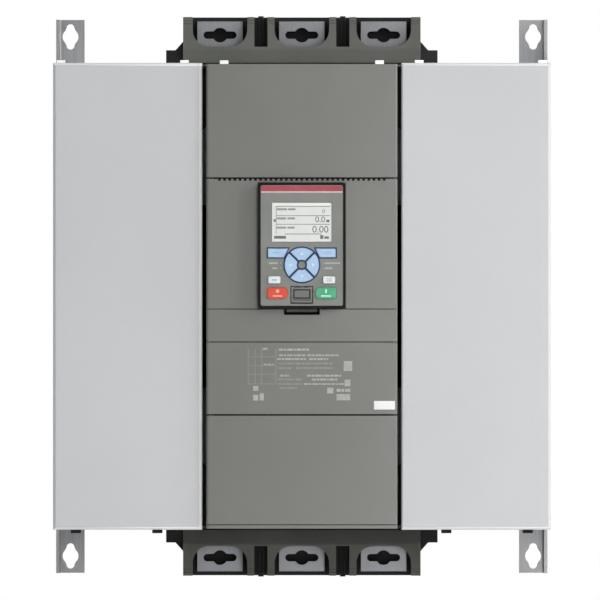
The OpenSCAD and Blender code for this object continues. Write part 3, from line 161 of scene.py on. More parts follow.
# Heat sinks
# One for each phase: an extruded aluminium comb, sawn to length and set against the chassis.
# Mill finish with fine upright die lines.
extruded = rolled_metal("mill_finish_aluminium", "#b4b8bb", "#c9cccf", (0.8, 0.8, 90), 0.36)
for side in ("left", "centre", "right"):
    dressed("heat_sink_" + side, extruded)

# Thyristor modules
# Isolated power modules screwed to the heat sinks: glass-filled polyester cases,
# moulded dark grey with a fine matt grain.


def matt_skin(name, dark, pale, patch, grain, depth, rough, specular):
    """Opaque moulded, cast or sprayed skin: slow tone patches and a fine grain, sizes in mm."""
    patch_share, gloss_spread = 0.75, 0.05
    m = blank_material(name)
    place = add_node(m, "TexCoord").outputs["Object"]
    patches = add_node(m, "TexNoise", {"Scale": 1000 / patch, "Detail": 3.0}, {"Vector": place})
    grit = add_node(m, "TexNoise", {"Scale": 1000 / grain, "Detail": 2.0}, {"Vector": place})
    rest = add_node(m, "Math", {"operation": "MULTIPLY", 1: 1 - patch_share}, {0: grit.outputs["Fac"]})
    both = add_node(m, "Math", {"operation": "MULTIPLY_ADD", 1: patch_share},
                    {0: patches.outputs["Fac"], 2: rest.outputs[0]})
    tone = add_node(m, "ValToRGB", None, {"Fac": both.outputs[0]})
    for stop, place_on, colour in zip(tone.color_ramp.elements, (0.36, 0.64), (dark, pale)):
        stop.position, stop.color = place_on, linear(colour)
    gloss = add_node(m, "MapRange", {"From Min": 0.3, "From Max": 0.7, "To Min": rough - gloss_spread,
                                     "To Max": rough + gloss_spread}, {"Value": grit.outputs["Fac"]})
    relief = add_node(m, "Bump", {"Strength": 0.4, "Distance": depth / 1000},
                      {"Height": grit.outputs["Fac"]})
    shader = add_node(m, "BsdfPrincipled", {"Specular IOR Level": specular},
                      {"Base Color": tone.outputs["Color"], "Roughness": gloss.outputs[0],
                       "Normal": relief.outputs["Normal"]})
    add_node(m, "OutputMaterial", None, {"Surface": shader.outputs["BSDF"]})
    return m


polyester = matt_skin("glass_filled_polyester", "#2a2e33", "#34383d", 25, 0.8, 0.03, 0.5, 0.4)
for side in ("left", "centre", "right"):
    dressed("thyristor_" + side, polyester)

# Busbars
# Flat copper bars, punched with a bolt hole and a cross slot, then tin-plated.
# Tin is a soft grey metal with fine lines along the bar.
tinned = rolled_metal("tin_plated_copper", "#6c6d70", "#77787b", (0.9, 0.9, 50), 0.42)
for end in ("line", "load"):
    for side in ("left", "centre", "right"):
        worked(end + "_busbar_" + side, 0.6, tinned)

# Current transformers
# Ring transformers slipped over the load bars to measure the motor's current.
# Cast in black epoxy resin, which keeps a low shine.
resin = matt_skin("cast_epoxy_resin", "#15181b", "#1e2226", 30, 1.0, 0.02, 0.36, 0.5)
for side in ("left", "centre", "right"):
    dressed("current_transformer_" + side, resin)

# Bypass contactors
# Switching blocks that carry the motor's current once it has started, set on the busbars.
# Moulded in glass-filled nylon, which looks dull with a fine grain.
nylon = matt_skin("glass_filled_nylon", "#34373a", "#3f4245", 30, 0.9, 0.03, 0.52, 0.4)
for side in ("left", "centre", "right"):
    dressed("bypass_contactor_" + side, nylon)

# Fans
# Three axial fans that stand on the bottom plate under the heat sinks, each rotor on its shaft.
# Moulded in black polyester with a slight sheen.
fan_black = matt_skin("black_fan_polyester", "#1a1c1e", "#222527", 20, 0.7, 0.02, 0.45, 0.45)
for side in ("left", "centre", "right"):
    dressed("fan_frame_" + side, fan_black)
    dressed("fan_rotor_" + side, fan_black)

# End plates
# Zinc-plated sheets that close the case, with vent slots above, fan grilles below and small
# bent tabs that hold the covers. The zinc has soft streaks across. The bottom plate's zinc is a
# darker copy, painted shade, and the sheared edges of bare steel are painted dark as shade.
bright_zinc = rolled_metal("bright_zinc_plate", "#d6d7d8", "#e6e7e7", (40, 1.2, 40), 0.4)
# The bottom plate's darker zinc is painted shade.
shade_darkened_zinc = rolled_metal("shade_darkened_zinc_plate", "#77787a", "#898a8c", (40, 1.2, 40), 0.45)
edge_shade_steel = rolled_metal("shade_darkened_steel_edge", "#3a3b3c", "#48494a", (0.6, 0.6, 0.6), 0.5)
cover_t, plate_t, plate_edge = 0.0015, 0.002, 0.0003
deck_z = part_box("left_side_cover")[1].z - cover_t
tab_foot = deck_z - plate_edge
flat_face, cut_gap = 0.95, 0.000002
for node, zinc in (("top_plate", bright_zinc), ("bottom_plate", shade_darkened_zinc)):
    plate = worked(node, plate_edge * 1000, zinc)
    plate.data.materials.append(edge_shade_steel)
    bm = bmesh.new()
    bm.from_mesh(plate.data)
    for level in (tab_foot, -tab_foot):
        bmesh.ops.bisect_plane(bm, geom=bm.verts[:] + bm.edges[:] + bm.faces[:], dist=cut_gap,
                               plane_co=(0, 0, level), plane_no=(0, 0, 1))
    bm.to_mesh(plate.data)
    bm.free()
    # The plates' cut edges and slot walls get the dark steel: bare steel, painted darker as shade.
    for face in plate.data.polygons:
        if abs(face.normal.z) < flat_face and deck_z - plate_t < abs(face.center.z) < deck_z:
            face.material_index = 1

# Terminal bases
# Dark bases under the cable pockets, screwed to the end plates by their lugs, with a back wall
# and ribbed phase barriers. Moulded in flame-proof polycarbonate with a dull eroded grain.
base_black = matt_skin("black_polycarbonate_base", "#1c1d1c", "#232423", 30, 0.8, 0.03, 0.6, 0.15)
worked("top_terminal_base", 0.4, base_black)
worked("bottom_terminal_base", 0.4, base_black)

# Terminal shrouds
# Finger guards with three cable pockets, clipped over the bases.
# Moulded in grey polycarbonate with the same dull grain.
shroud_grey = matt_skin("grey_polycarbonate_shroud", "#5f605b", "#666762", 40, 0.8, 0.02, 0.6, 0.1)
worked("top_terminal_shroud", 0.5, shroud_grey)
worked("bottom_terminal_shroud", 0.5, shroud_grey)

# Control housing and board
# Moulded ABS tray behind the front that carries the control electronics, and the keypad's own
# board. The boards are glass epoxy under a satin green solder mask.
tray_grey = matt_skin("dark_abs_tray", "#434542", "#4c4e4b", 40, 0.8, 0.03, 0.6, 0.35)
dressed("control_housing", tray_grey)
green_board = matt_skin("solder_mask_board", "#1d5233", "#2a6b44", 4, 0.8, 0.04, 0.35, 0.5)
dressed("control_board", green_board)
key_board = worked("key_board", 0.1, green_board)

# Service socket
# Small socket soldered on the key board behind the dust flap.
# Its pressed steel shell is nickel plated and fairly bright.
nickel = rolled_metal("nickel_plated_shell", "#8d8d8a", "#a3a3a0", (3, 3, 3), 0.3)
key_board.data.materials.append(nickel)
shell_half_w, shell_half_h = 0.0061, 0.0029
shell_z = (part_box("usb_flap")[0].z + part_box("usb_flap")[1].z) / 2
for face in key_board.data.polygons:
    if abs(face.center.x) < shell_half_w and abs(face.center.z - shell_z) < shell_half_h:
        face.material_index = 1

# Side covers
# Large covers folded from 1.5 mm steel, hooked over the chassis and held by three screws each.
# Their light grey powder coat has a slight orange peel, and along the bends it is
# painted paler as a painted highlight.
powder = matt_skin("light_grey_powder_coat", "#c3c4c6", "#c8c9cb", 160, 1.6, 0.02, 0.48, 0.5)
bend_highlight_coat = matt_skin("powder_coat_painted_highlight", "#e9e9ea", "#efeff0", 160, 1.6, 0.01, 0.35, 0.5)
bend_from, bend_to, outer_strip = -0.97, -0.2, 0.008
for node in ("left_side_cover", "right_side_cover"):
    cover = worked(node, 0.4, powder)
    cover.data.materials.append(bend_highlight_coat)
    inner_x = max(abs(corner.x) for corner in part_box(node)) - outer_strip
    # Faces on the bends take the paler coat: a painted highlight.
    for face in cover.data.polygons:
        if bend_from < face.normal.y < bend_to and abs(face.center.x) < inner_x:
            face.material_index = 1

# Cover screws and clips
# Countersunk zinc-plated screws in the covers' sides, with a fine bright grain, and dead black
# rubber clips pressed under the covers' lower edge.
screw_zinc = rolled_metal("zinc_plated_screw", "#85878a", "#a3a5a7", (1.2, 1.2, 1.2), 0.35)
worked("cover_screws", 0.2, screw_zinc)
rubber_and_shade_black = matt_skin("black_rubber_and_painted_shade", "#0c0c0c", "#141414", 10, 0.6, 0.03, 0.8, 0.2)
worked("bottom_clips", 0.6, rubber_and_shade_black)

# Plastic front
# Four grey covers clipped over the control tray, moulded in polycarbonate with a fine
# spark-eroded grain. The grain is about 0.4 mm and shows only close up.
front_grey = matt_skin("spark_grained_polycarbonate", "#6a6b66", "#6f706b", 90, 0.4, 0.0015, 0.27, 0.5)
for node in ("upper_front_cover", "keypad_panel", "label_panel", "lower_front_cover"):
    worked(node, 0.5, front_grey)

# Label print
# Plain bars, blocks and ruled lines screen-printed on the label panel in two chalky greys,
# and one blank sticker of matt white paper at its lower right.


def fitted(bm, name, body, material):
    """Turns a finished bmesh into a piece that rides on a body."""
    bmesh.ops.recalc_face_normals(bm, faces=bm.faces)
    mesh = bpy.data.meshes.new(name)
    bm.to_mesh(mesh)
    bm.free()
    mesh.materials.append(material)
    piece = bpy.data.objects.new(name, mesh)
    bpy.context.scene.collection.objects.link(piece)
    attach(piece, body)
    return piece


def printed(name, body, material, plates, front, thick=0.1):
    """Thin printed or stuck-on fields: plates are x0, x1, z0, z1 in mm on a surface at y = front."""
    bm = bmesh.new()
    for x0, x1, z0, z1 in plates:
        middle = Vector(((x0 + x1) / 2, front * 1000 - thick / 2, (z0 + z1) / 2)) / 1000
        spread = Vector((x1 - x0, thick, z1 - z0, 1000)) / 1000
        bmesh.ops.create_cube(bm, size=1, matrix=Matrix.Translation(middle) @ Matrix.Diagonal(spread))
    return fitted(bm, name, body, material)


label_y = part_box("label_panel")[0].y
pale_ink = matt_skin("pale_screen_ink", "#a4a5a0", "#b6b7b2", 3, 0.5, 0.01, 0.6, 0.3)
dim_ink = matt_skin("dim_screen_ink", "#898a85", "#94958f", 3, 0.5, 0.01, 0.6, 0.3)
white_paper = matt_skin("white_paper_sticker", "#f1f1ef", "#f8f8f7", 12, 0.5, 0.01, 0.7, 0.2)


def dashes(x0, x1, z0, z1, lengths=(3.6, 2.1, 5.2, 1.6, 4.3, 2.8), space=0.7):
    """A line of print as a row of bars of mixed lengths, all in mm."""
    row, step = [], 0
    while x0 < x1:
        end = min(x0 + lengths[step % len(lengths)], x1)
        row.append((x0, end, z0, z1))
        x0, step = end + space, step + 1
    return row


pale_lines = [(-20.0, 6.3, -47.4, -45.7), (-20.0, 3.6, -52.3, -50.8), (4.8, 32.6, -52.3, -50.8),
              (-21.7, 3.7, -55.6, -54.0), (6.3, 23.0, -55.6, -54.0), (-19.1, -11.2, -70.1, -68.4),
              (4.6, 34.4, -70.1, -68.5), (8.9, 30.9, -73.5, -71.9), (1.9, 37.0, -77.2, -76.0),
              (-34.2, -29.6, -46.8, -45.0), (-33.4, -24.4, -60.4, -58.8), (30.4, 42.2, -83.4, -80.8)]
pale_blocks = [(37.4, 42.4, -78.4, -72.8), (22.2, 27.4, -84.8, -79.8), (30.4, 42.2, -90.8, -85.4),
               (-42.6, -38.0, -82.6, -78.2), (-42.6, -38.0, -91.0, -86.0), (-36.8, -33.2, -91.0, -84.6),
               (36.6, 44.0, -65.2, -56.6)]
dim_lines = [(-20.4, 27.4, -59.5, -57.9), (-20.4, -9.0, -63.5, -61.8), (-5.0, 27.4, -63.5, -61.8),
             (-20.9, 0.2, -73.3, -71.9), (-20.9, 0.2, -77.2, -76.0), (-19.1, -4.2, -80.7, -79.3)]
rule_w, sticker_t = 0.7, 0.15
ruled_lines = ([(x, x + rule_w, -76.9, -45.9) for x in (-47.2, -41.2, -35.4, -22.9)]
               + [(-47.2, -22.2, z, z + rule_w) for z in (-76.9, -68.4, -60.8, -53.2)])
printed("label_lines", "frame", pale_ink,
        pale_blocks + [bar for line in pale_lines for bar in dashes(*line)], label_y)
printed("label_small_lines", "frame", dim_ink,
        ruled_lines + [bar for line in dim_lines for bar in dashes(*line)], label_y)
printed("blank_sticker", "frame", white_paper, [(63.1, 81.4, -98.9, -91.4)],
        label_y, sticker_t)

# Fine joints
# Two fine joints are moulded across the front as shallow grooves.
# Their floors are painted dark as shade.
joint_shade = matt_skin("painted_joint_shade", "#3f3f3c", "#464643", 20, 0.6, 0.01, 0.7, 0.1)
fine_seam, groove_end, lip_h, bay_clear, slot_play = 0.8, 0.5, 3.0, 0.4, 0.5
front_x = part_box("lower_front_cover")[1].x * 1000 - groove_end
catch_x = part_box("keypad_latch")[1].x * 1000 + slot_play
foot_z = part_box("lower_front_cover")[0].z * 1000 + lip_h
pad_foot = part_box("keypad_shell")[0].z * 1000 - bay_clear
printed("joint_shade_strips", "frame", joint_shade, [
    (-front_x, front_x, foot_z, foot_z + fine_seam), (-front_x, -catch_x, pad_foot - fine_seam, pad_foot),
    (catch_x, front_x, pad_foot - fine_seam, pad_foot)], label_y + fine_seam / 1000)

# Seam shade strips
# Two black strips set inside the front behind its two wide joints. They are painted shade
# that makes the joints and the row of notches look black.
front_wall, shade_lap, shade_t, shade_gap, shade_end, notch_foot = 3.0, 1.0, 0.2, 0.05, 6.0, 1.8
shade_x = front_x - shade_end
shade_y = label_y + (front_wall + shade_t + shade_gap) / 1000
# Black strips behind the joints: painted shade.
printed("seam_shade_strips", "frame", rubber_and_shade_black, [
    (-shade_x, shade_x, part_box("keypad_panel")[1].z * 1000 - notch_foot,
     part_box("upper_front_cover")[0].z * 1000 + shade_lap),
    (-shade_x, shade_x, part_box("lower_front_cover")[1].z * 1000 - shade_lap,
     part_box("label_panel")[0].z * 1000 + shade_lap)], shade_y, shade_t)

# Keypad shell and catch
# Black shell of the hand keypad, moulded in ABS with a dull grain, which plugs into the bay.
# Under it sits the grey spring catch of satin acetal, in a slot whose floor is painted black as shade.
shell_and_shade_black = matt_skin("black_abs_shell_and_painted_shade", "#0e0e0e", "#131313", 20, 0.7, 0.02, 0.55, 0.12)
worked("keypad_shell", 0.5, shell_and_shade_black)
catch_grey = matt_skin("grey_acetal_catch", "#383936", "#40413e", 10, 0.7, 0.02, 0.45, 0.3)
worked("keypad_latch", 0.3, catch_grey)
catch_play, slot_shade_end, slot_shade_h = 0.0003, 0.6, 5.4
bay_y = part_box("keypad_latch")[1].y + catch_play
# A black plate on the slot's floor: painted shade.
printed("catch_slot_shade", "frame", shell_and_shade_black, [
    (-catch_x + slot_shade_end, catch_x - slot_shade_end, pad_foot - slot_shade_h, pad_foot)], bay_y)

# Socket tongue
# Black moulded tongue that carries the contacts in the service socket.
# It stands on the socket's floor, a little above the middle, and looks dull.
tongue_half_w, tongue_half_t, tongue_rise, tongue_reach, tongue_root = 3.6, 0.6, 0.4, 2.5, 0.0031
tongue_z = shell_z * 1000 + tongue_rise
printed("socket_tongue", "keypad", shell_and_shade_black, [
    (-tongue_half_w, tongue_half_w, tongue_z - tongue_half_t, tongue_z + tongue_half_t)],
    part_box("key_board")[0].y + tongue_root, tongue_reach)

# Keypad overlay
# Satin grey polyester film with the key holes, printed with a red field, a pale line,
# dark blue outlines round the blue keys and small caption bars.
overlay_grey = matt_skin("satin_polyester_film", "#7a7c77", "#82847f", 30, 0.6, 0.01, 0.5, 0.4)
worked("keypad_face", 0.15, overlay_grey)
film_low, film_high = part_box("keypad_face")
film_y = film_low.y
pad_z = (film_low.z + film_high.z) / 2 * 1000
film_edge = 0.4
film_x = film_high.x * 1000 - film_edge


def keypad_print(name, material, plates):
    """Fields printed on the overlay, given from the keypad's middle."""
    return printed(name, "keypad", material,
                   [(x0, x1, z0 + pad_z, z1 + pad_z) for x0, x1, z0, z1 in plates], film_y)


rose_ink = matt_skin("pale_rose_screen_ink", "#cbb3b4", "#d6c2c2", 3, 0.5, 0.01, 0.6, 0.3)
red_ink = matt_skin("red_screen_ink", "#9a3a48", "#a84553", 12, 0.6, 0.01, 0.45, 0.4)
keypad_print("red_field", red_ink, [(-film_x, film_x, 47.5, 52.2)])
keypad_print("pale_line", rose_ink, [(-film_x, film_x, 46.0, 47.3)])
keypad_print("caption_bars", pale_ink, [
    (-28.9, -21.1, -16.2, -14.8), (-25.9, -21.5, -20.6, -19.2),
    (19.9, 33.4, -16.2, -14.8), (19.9, 26.7, -20.6, -19.2)])

blue_ink = matt_skin("dark_blue_screen_ink", "#1f3057", "#2a3d68", 6, 0.6, 0.01, 0.5, 0.3)
arrow_z = -17.0
ring_radii = ((3.0, 4.3), (15.1, 16.2))
spoke_at, spoke_l, spoke_w, outline_line = 9.7, 11.0, 1.3, 0.9
ink_rise, ink_t = 0.05, 0.08
bm = bmesh.new()
for inner, outer in ring_radii:
    hoop = bmesh.ops.create_circle(bm, cap_ends=False, segments=96, radius=inner / 1000)["verts"]
    rim = bmesh.ops.create_circle(bm, cap_ends=False, segments=96, radius=outer / 1000)["verts"]
    loops = {e for v in hoop + rim for e in v.link_edges}
    bmesh.ops.bridge_loops(bm, edges=list(loops))
for turn in (45, 135, 225, 315):
    bar = Matrix.Rotation(radians(turn), 4, "Z") @ Matrix.Translation((spoke_at / 1000, 0, 0))
    bmesh.ops.create_grid(bm, x_segments=1, y_segments=1, size=0.5,
                          matrix=bar @ Matrix.Diagonal((spoke_l / 1000, spoke_w / 1000, 1, 1)))
for side in (-1, 1):
    key = [bm.verts.new((side * x / 1000, (z - arrow_z) / 1000, 0))
           for x, z in ((-30.7, -1.6), (-10.5, -1.6), (-14.95, -11.5), (-30.7, -11.5))]
    field = bm.faces.new(key)
    field.normal_update()
    bmesh.ops.inset_individual(bm, faces=[field], thickness=outline_line / 1000, use_even_offset=True)
    bmesh.ops.delete(bm, geom=[field], context="FACES_ONLY")
bmesh.ops.rotate(bm, verts=bm.verts, matrix=Matrix.Rotation(radians(90), 3, "X"))
bmesh.ops.translate(bm, verts=bm.verts, vec=(0, film_y - ink_rise / 1000, (pad_z + arrow_z) / 1000))
blue_print = fitted(bm, "key_outlines", "keypad", blue_ink)
blue_print.modifiers.new("ink_film", "SOLIDIFY").thickness = ink_t / 1000

# Display
# Pale liquid-crystal display behind the overlay's window, a glass pane with a satin front film.
# It shows ruled rows, short bars, a row pointer and plain figures in grey segments.
glass_pale = matt_skin("pale_display_glass", "#eceeec", "#f2f3f1", 30, 1.0, 0.004, 0.4, 0.3)
dressed("display_module", glass_pale)
pane_low, pane_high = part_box("display_module")
pane_y = pane_low.y
pane_z = (pane_low.z + pane_high.z) / 2 * 1000
segment_t = 0.06


def display_print(name, material, plates, front):
    """Segments of the display, given from the window's middle."""
    return printed(name, "keypad", material,
                   [(x0, x1, z0 + pane_z, z1 + pane_z) for x0, x1, z0, z1 in plates], front, segment_t)


panel_grey = matt_skin("lit_display_field", "#dde0dd", "#e3e6e3", 15, 1.0, 0.002, 0.4, 0.3)
segment_grey = matt_skin("display_segments", "#636764", "#717572", 5, 0.6, 0.002, 0.4, 0.3)
rule_grey = matt_skin("display_rules", "#8d918e", "#9a9e9b", 5, 0.6, 0.002, 0.4, 0.3)
display_print("display_field", panel_grey, [(-24.6, 24.8, -15.6, 14.2)], pane_y)
field_y = pane_y - segment_t / 1000
display_print("display_lines", rule_grey, [
    (-22.4, 24.8, 13.4, 14.2), (-22.4, 24.8, 5.4, 6.1), (-22.4, 24.8, -2.2, -1.5),
    (-15.0, 17.0, -10.7, -9.9), (-22.6, -22.1, -10.0, 14.2),
    (-22.0, -13.0, 10.4, 12.2), (-12.2, -5.6, 10.4, 12.2), (-22.0, -13.6, 2.4, 4.2),
    (-12.6, -6.0, 2.4, 4.2), (-22.0, -13.6, -5.6, -3.9), (-12.6, -6.4, -5.6, -3.9)], field_y)
display_print("display_marks", segment_grey, [
    (-24.2, -13.8, -14.4, -12.0), (16.0, 18.8, -14.6, -11.2), (19.6, 23.6, -14.4, -12.4),
    (21.4, 24.2, 0.0, 2.2), (-24.6, -22.8, 0.4, 2.6)], field_y)


def figures(name, text, x, z, height):
    """Plain figures in the display, their left foot at x and z from the window's middle, in mm."""
    digit_share, half_t, rise = 0.72, 0.02, 0.04
    curve = bpy.data.curves.new(name, "FONT")
    curve.body, curve.size, curve.extrude = text, height / digit_share / 1000, half_t / 1000
    source = bpy.data.objects.new(name + "_curve", curve)
    bpy.context.scene.collection.objects.link(source)
    bpy.context.view_layer.update()
    mesh = bpy.data.meshes.new_from_object(source.evaluated_get(bpy.context.evaluated_depsgraph_get()))
    bpy.data.objects.remove(source)
    mesh.transform(Matrix.Translation((x / 1000, field_y - rise / 1000, (pane_z + z) / 1000))
                   @ Matrix.Rotation(radians(90), 4, "X"))
    mesh.materials.clear()
    mesh.materials.append(segment_grey)
    piece = bpy.data.objects.new(name, mesh)
    bpy.context.scene.collection.objects.link(piece)
    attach(piece, "keypad")
    return piece


figures("display_figure_first", "0", 17.8, 8.0, 3.4)
figures("display_figure_second", "0.0", 11.6, 0.0, 5.2)
figures("display_figure_third", "0.00", 9.0, -9.0, 6.0)

# Keys
# Soft-touch silicone keys that come through the overlay, held by lips behind it, each with a
# small printed mark: pale blue for the menu, white for help and place of control, red to stop,
# green to start. The white, red and green ones have a rounder edge, painted darker as shade.
blue_key = matt_skin("pale_blue_silicone", "#a7c5e5", "#b3cfea", 8, 0.6, 0.02, 0.5, 0.35)
white_key = matt_skin("white_silicone", "#e1e8ea", "#ebf1f2", 8, 0.6, 0.02, 0.5, 0.35)
red_key = matt_skin("red_silicone", "#d34733", "#df5540", 8, 0.6, 0.02, 0.45, 0.35)
green_key = matt_skin("green_silicone", "#48a279", "#55b086", 8, 0.6, 0.02, 0.45, 0.35)
mark_pale = matt_skin("pale_blue_key_print", "#d3e2f7", "#dfeafa", 3, 0.5, 0.01, 0.55, 0.3)
mark_rose = matt_skin("pale_orange_key_print", "#f2a491", "#f7b3a2", 3, 0.5, 0.01, 0.55, 0.3)
mark_mint = matt_skin("pale_green_key_print", "#b6ecd4", "#c4f2de", 3, 0.5, 0.01, 0.55, 0.3)
mark_grey = matt_skin("grey_green_key_print", "#a9b4b2", "#b6c0be", 3, 0.5, 0.01, 0.55, 0.3)
mark_blue = matt_skin("mid_blue_key_print", "#93b5dd", "#a0c0e4", 3, 0.5, 0.01, 0.55, 0.3)
blue_keys = ("soft_key_left", "soft_key_right", "arrow_up", "arrow_down", "arrow_left", "arrow_right")
key_kinds = {node: (blue_key, "key_blue") for node in blue_keys}
key_kinds.update({"info_key": (white_key, "key_white"), "remote_key": (white_key, "key_white"),
                  "stop_key": (red_key, "key_red"), "start_key": (green_key, "key_green")})
key_shade_rims = {"key_white": matt_skin("white_key_painted_shade", "#8d9293", "#989d9e", 8, 0.6, 0.02, 0.5, 0.3),
            "key_red": matt_skin("red_key_painted_shade", "#8c3022", "#98392a", 8, 0.6, 0.02, 0.5, 0.3),
            "key_green": matt_skin("green_key_painted_shade", "#2f7556", "#388061", 8, 0.6, 0.02, 0.5, 0.3)}
round_edge, plain_edge, shade_slope = 0.7, 0.35, -0.9
print_depth, top_zone = 0.00008, 0.0005
for node, (skin, slot) in key_kinds.items():
    rim = key_shade_rims.get(slot)
    key = worked(node, round_edge if rim else plain_edge, skin)
    if rim:
        key.data.materials.append(rim)
        # Faces of the rounded edge take the darker copy of the key colour: painted shade.
        for face in key.data.polygons:
            face.material_index = int(face.normal.y > shade_slope)
    # The top is set back by the print's thickness, so the marks end where the solid does.
    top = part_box(node)[0].y
    for vertex in key.data.vertices:
        if vertex.co.y < top + top_zone:
            vertex.co.y += print_depth


def key_mark(key, material, plates, turn=0, sides=4, name=None):
    """A mark on a key's top, given in mm from the key's middle."""
    low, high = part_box(key)
    middle = (low + high) / 2
    bm = bmesh.new()
    for x, z, w, h in plates:
        shape = (Matrix.Translation((middle.x + x / 1000, low.y + print_depth / 2, middle.z + z / 1000))
                 @ Matrix.Rotation(radians(turn), 4, "Y") @ Matrix.Diagonal((w / 1000, 1, h / 1000, 1))
                 @ Matrix.Rotation(radians(90), 4, "X"))
        if sides == 4:
            bmesh.ops.create_cube(bm, size=1, matrix=shape @ Matrix.Diagonal((1, 1, print_depth, 1)))
        else:
            bmesh.ops.create_cone(bm, cap_ends=True, segments=sides, radius1=0.5, radius2=0.5,
                                  depth=print_depth, matrix=shape)
    return fitted(bm, name or key + "_mark", frame["nodes"][key]["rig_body"], material)


for key, x, z, turn in (("arrow_up", 0, 0.4, 0), ("arrow_down", 0, -0.4, 180),
                        ("arrow_left", -0.4, 0, -90), ("arrow_right", 0.4, 0, 90)):
    key_mark(key, mark_pale, [(x, z, 3.4, 3.4)], turn, 3)
key_mark("soft_key_left", mark_blue, [(-1.4, 0, 7.0, 1.0)])
key_mark("soft_key_right", mark_blue, [(1.4, 0, 7.0, 1.0)])
key_mark("info_key", mark_grey, [(0, 0, 4.4, 1.2)])
key_mark("remote_key", mark_grey, [(0, 0.9, 4.8, 0.9), (0, -0.9, 4.8, 0.9)])
key_mark("stop_key", mark_rose, [(0, 1.7, 3.2, 3.2)], 0, 32)
key_mark("stop_key", mark_rose, [(0, -2.5, 8.0, 1.3)], name="stop_key_caption")
key_mark("start_key", mark_mint, [(0, 1.7, 1.5, 3.4)])
key_mark("start_key", mark_mint, [(0, -2.5, 8.6, 1.3)], name="start_key_caption")

# Status lights
# Four small light pipes beside the arrow keys, pushed into the overlay from behind.
# Moulded in polycarbonate, frosted and faintly green when unlit.
lens = matt_skin("frosted_light_pipe", "#7d8f80", "#8fa392", 2, 0.4, 0.004, 0.2, 0.5)
worked("status_lights", 0.15, lens)

# Dust flap
# Dull rubber flap on two pins over the service socket, with a pale line near its edge and a
# lighter field in a dark frame for a fingertip. A dark outline round it on the overlay is painted shade.
flap_grey = matt_skin("grey_rubber", "#5d5d5a", "#666663", 8, 0.6, 0.03, 0.65, 0.3)
worked("usb_flap", 0.3, flap_grey)
flap_low, flap_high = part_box("usb_flap")
flap_z = (flap_low.z + flap_high.z) / 2 * 1000
flap_ink = 0.06


def flap_frame(name, material, half_w, half_h, line, rise=0):
    """A rectangle printed as a frame on the flap, given in mm from its middle."""
    top, foot = flap_z + rise + half_h, flap_z + rise - half_h
    return printed(name, "usb_flap", material, [
        (-half_w, half_w, top - line, top), (-half_w, half_w, foot, foot + line),
        (-half_w, line - half_w, foot + line, top - line),
        (half_w - line, half_w, foot + line, top - line)], flap_low.y, flap_ink)


flap_print_and_shade_dark = matt_skin("black_rubber_print_and_painted_shade", "#242423", "#2b2b2a", 4, 0.5, 0.01, 0.7, 0.2)
flap_pale = matt_skin("pale_rubber_edge", "#868682", "#90908c", 4, 0.5, 0.01, 0.7, 0.2)
flap_mid = matt_skin("mid_grey_rubber_print", "#747471", "#7b7b78", 4, 0.5, 0.01, 0.7, 0.2)
flap_frame("flap_field", flap_print_and_shade_dark, 7.3, 4.0, 1.0, 0.9)
flap_frame("flap_edge", flap_pale, 8.8, 6.0, 0.6)
flap_half_w, flap_half_h, outline_gap, outline_w = 8.7, 6.65, 0.45, 0.8
side_x, side_z = flap_half_w + outline_gap, flap_half_h + outline_gap
far_x = side_x + outline_w
# A dark frame on the overlay round the flap: painted shade of the gap.
printed("flap_outline", "keypad", flap_print_and_shade_dark, [
    (-far_x, far_x, flap_z + side_z, flap_z + side_z + outline_w),
    (-far_x, far_x, flap_z - side_z - outline_w, flap_z - side_z),
    (-far_x, -side_x, flap_z - side_z, flap_z + side_z),
    (side_x, far_x, flap_z - side_z, flap_z + side_z)], film_y)
printed("flap_middle", "usb_flap", flap_mid,
        [(-6.3, 6.3, flap_z - 2.1, flap_z + 3.9)], flap_low.y, flap_ink)

# Stage
# Pale floor well under a wall-hung object, one soft lamp from the upper right, one far round to the
# right that throws the keypad's shadow, two slim upright ones, weak fills for the hidden sides,
# and a camera straight in front from far off, as in the photograph.


def by_eye(owner):
    """1 for rays that meet the eye straight on, in a mirror or through glass, otherwise 0."""
    path = add_node(owner, "LightPath")
    straight = add_node(owner, "Math", {"operation": "MAXIMUM"},
                        {0: path.outputs["Is Camera Ray"], 1: path.outputs["Is Glossy Ray"]})
    return add_node(owner, "Math", {"operation": "MAXIMUM"},
                    {0: straight.outputs[0], 1: path.outputs["Is Transmission Ray"]}).outputs[0]


floor_paint = matt_skin("pale_studio_floor", "#d2d2d0", "#d8d8d6", 300, 3.0, 0.02, 0.8, 0.2)
paint = next(n for n in floor_paint.node_tree.nodes if n.bl_idname == "ShaderNodeBsdfPrincipled")
paint.inputs["Emission Color"].default_value = (1, 1, 1, 1)
floor_glow, floor_half, floor_z = 0.45, 4.0, -1.2
glow = add_node(floor_paint, "Math", {"operation": "MULTIPLY", 1: floor_glow}, {0: by_eye(floor_paint)})
floor_paint.node_tree.links.new(glow.outputs[0], paint.inputs["Emission Strength"])
one_sided = add_node(floor_paint, "MixShader", None, {
    0: add_node(floor_paint, "NewGeometry").outputs["Backfacing"], 1: paint.outputs["BSDF"],
    2: add_node(floor_paint, "BsdfTransparent").outputs["BSDF"]})
surface = next(n for n in floor_paint.node_tree.nodes if n.bl_idname == "ShaderNodeOutputMaterial")
floor_paint.node_tree.links.new(one_sided.outputs[0], surface.inputs["Surface"])
bm = bmesh.new()
bmesh.ops.create_grid(bm, x_segments=4, y_segments=4, size=floor_half,
                      matrix=Matrix.Translation((0, 0, floor_z)))
floor_mesh = bpy.data.meshes.new("studio_floor")
bm.to_mesh(floor_mesh)
bm.free()
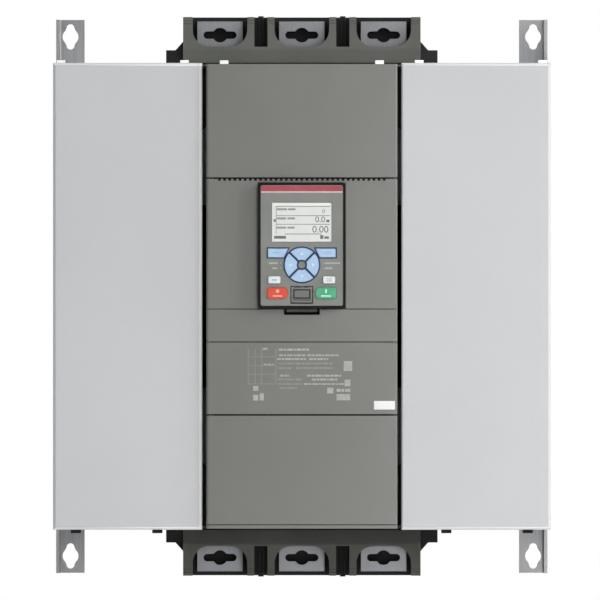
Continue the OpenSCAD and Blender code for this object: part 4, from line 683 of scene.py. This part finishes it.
floor_mesh.materials.append(floor_paint)
floor = bpy.data.objects.new("studio_floor", floor_mesh)
bpy.context.scene.collection.objects.link(floor)

aim = Vector((0, -0.25, 0))
for name, place, wide, high, power in (("soft_key_lamp", (2.0, -4.5, 2.0), 2.0, 2.0, 58),
                                       ("strip_lamp", (0.28, -2.0, -0.3), 0.2, 1.6, 9.0),
                                       ("right_lamp", (3.0, -1.7, 1.2), 1.0, 1.8, 78),
                                       ("side_lamp", (2.2, -0.75, 0.0), 0.25, 2.0, 9),
                                       ("left_fill", (-2.4, 0.45, 0.5), 1.2, 1.5, 20),
                                       ("back_fill", (0.6, 2.6, 0.9), 1.5, 1.5, 20)):
    lamp = bpy.data.lights.new(name, "AREA")
    lamp.shape, lamp.size, lamp.size_y, lamp.energy = "RECTANGLE", wide, high, power
    holder = bpy.data.objects.new(name, lamp)
    holder.matrix_world = (Matrix.Translation(place)
                           @ (aim - Vector(place)).to_track_quat("-Z", "Y").to_matrix().to_4x4())
    holder.visible_camera = False
    bpy.context.scene.collection.objects.link(holder)

world = bpy.data.worlds.new("white_studio")
world.use_nodes = True
world.node_tree.nodes.clear()
soft_light, seen_white = 0.13, 1.0
level = add_node(world, "MapRange", {"To Min": soft_light, "To Max": seen_white}, {"Value": by_eye(world)})
sky = add_node(world, "Background", {"Color": (1, 1, 1, 1)}, {"Strength": level.outputs[0]})
add_node(world, "OutputWorld", None, {"Surface": sky.outputs["Background"]})
bpy.context.scene.world = world

picture_width, lens_length, front_plane = 0.5262, 1650, -0.26
centre_x, centre_z = -0.0016, -0.0032
camera = bpy.data.cameras.new("photo_camera")
camera.lens, camera.sensor_width, camera.clip_end = lens_length, 36, 100
distance = picture_width * lens_length / camera.sensor_width
camera_place = bpy.data.objects.new("photo_camera", camera)
camera_place.location = (centre_x, front_plane - distance, centre_z)
camera_place.rotation_euler = (radians(90), 0, 0)
bpy.context.scene.collection.objects.link(camera_place)
bpy.context.scene.camera = camera_place
bpy.context.scene.view_settings.view_transform = "Standard"
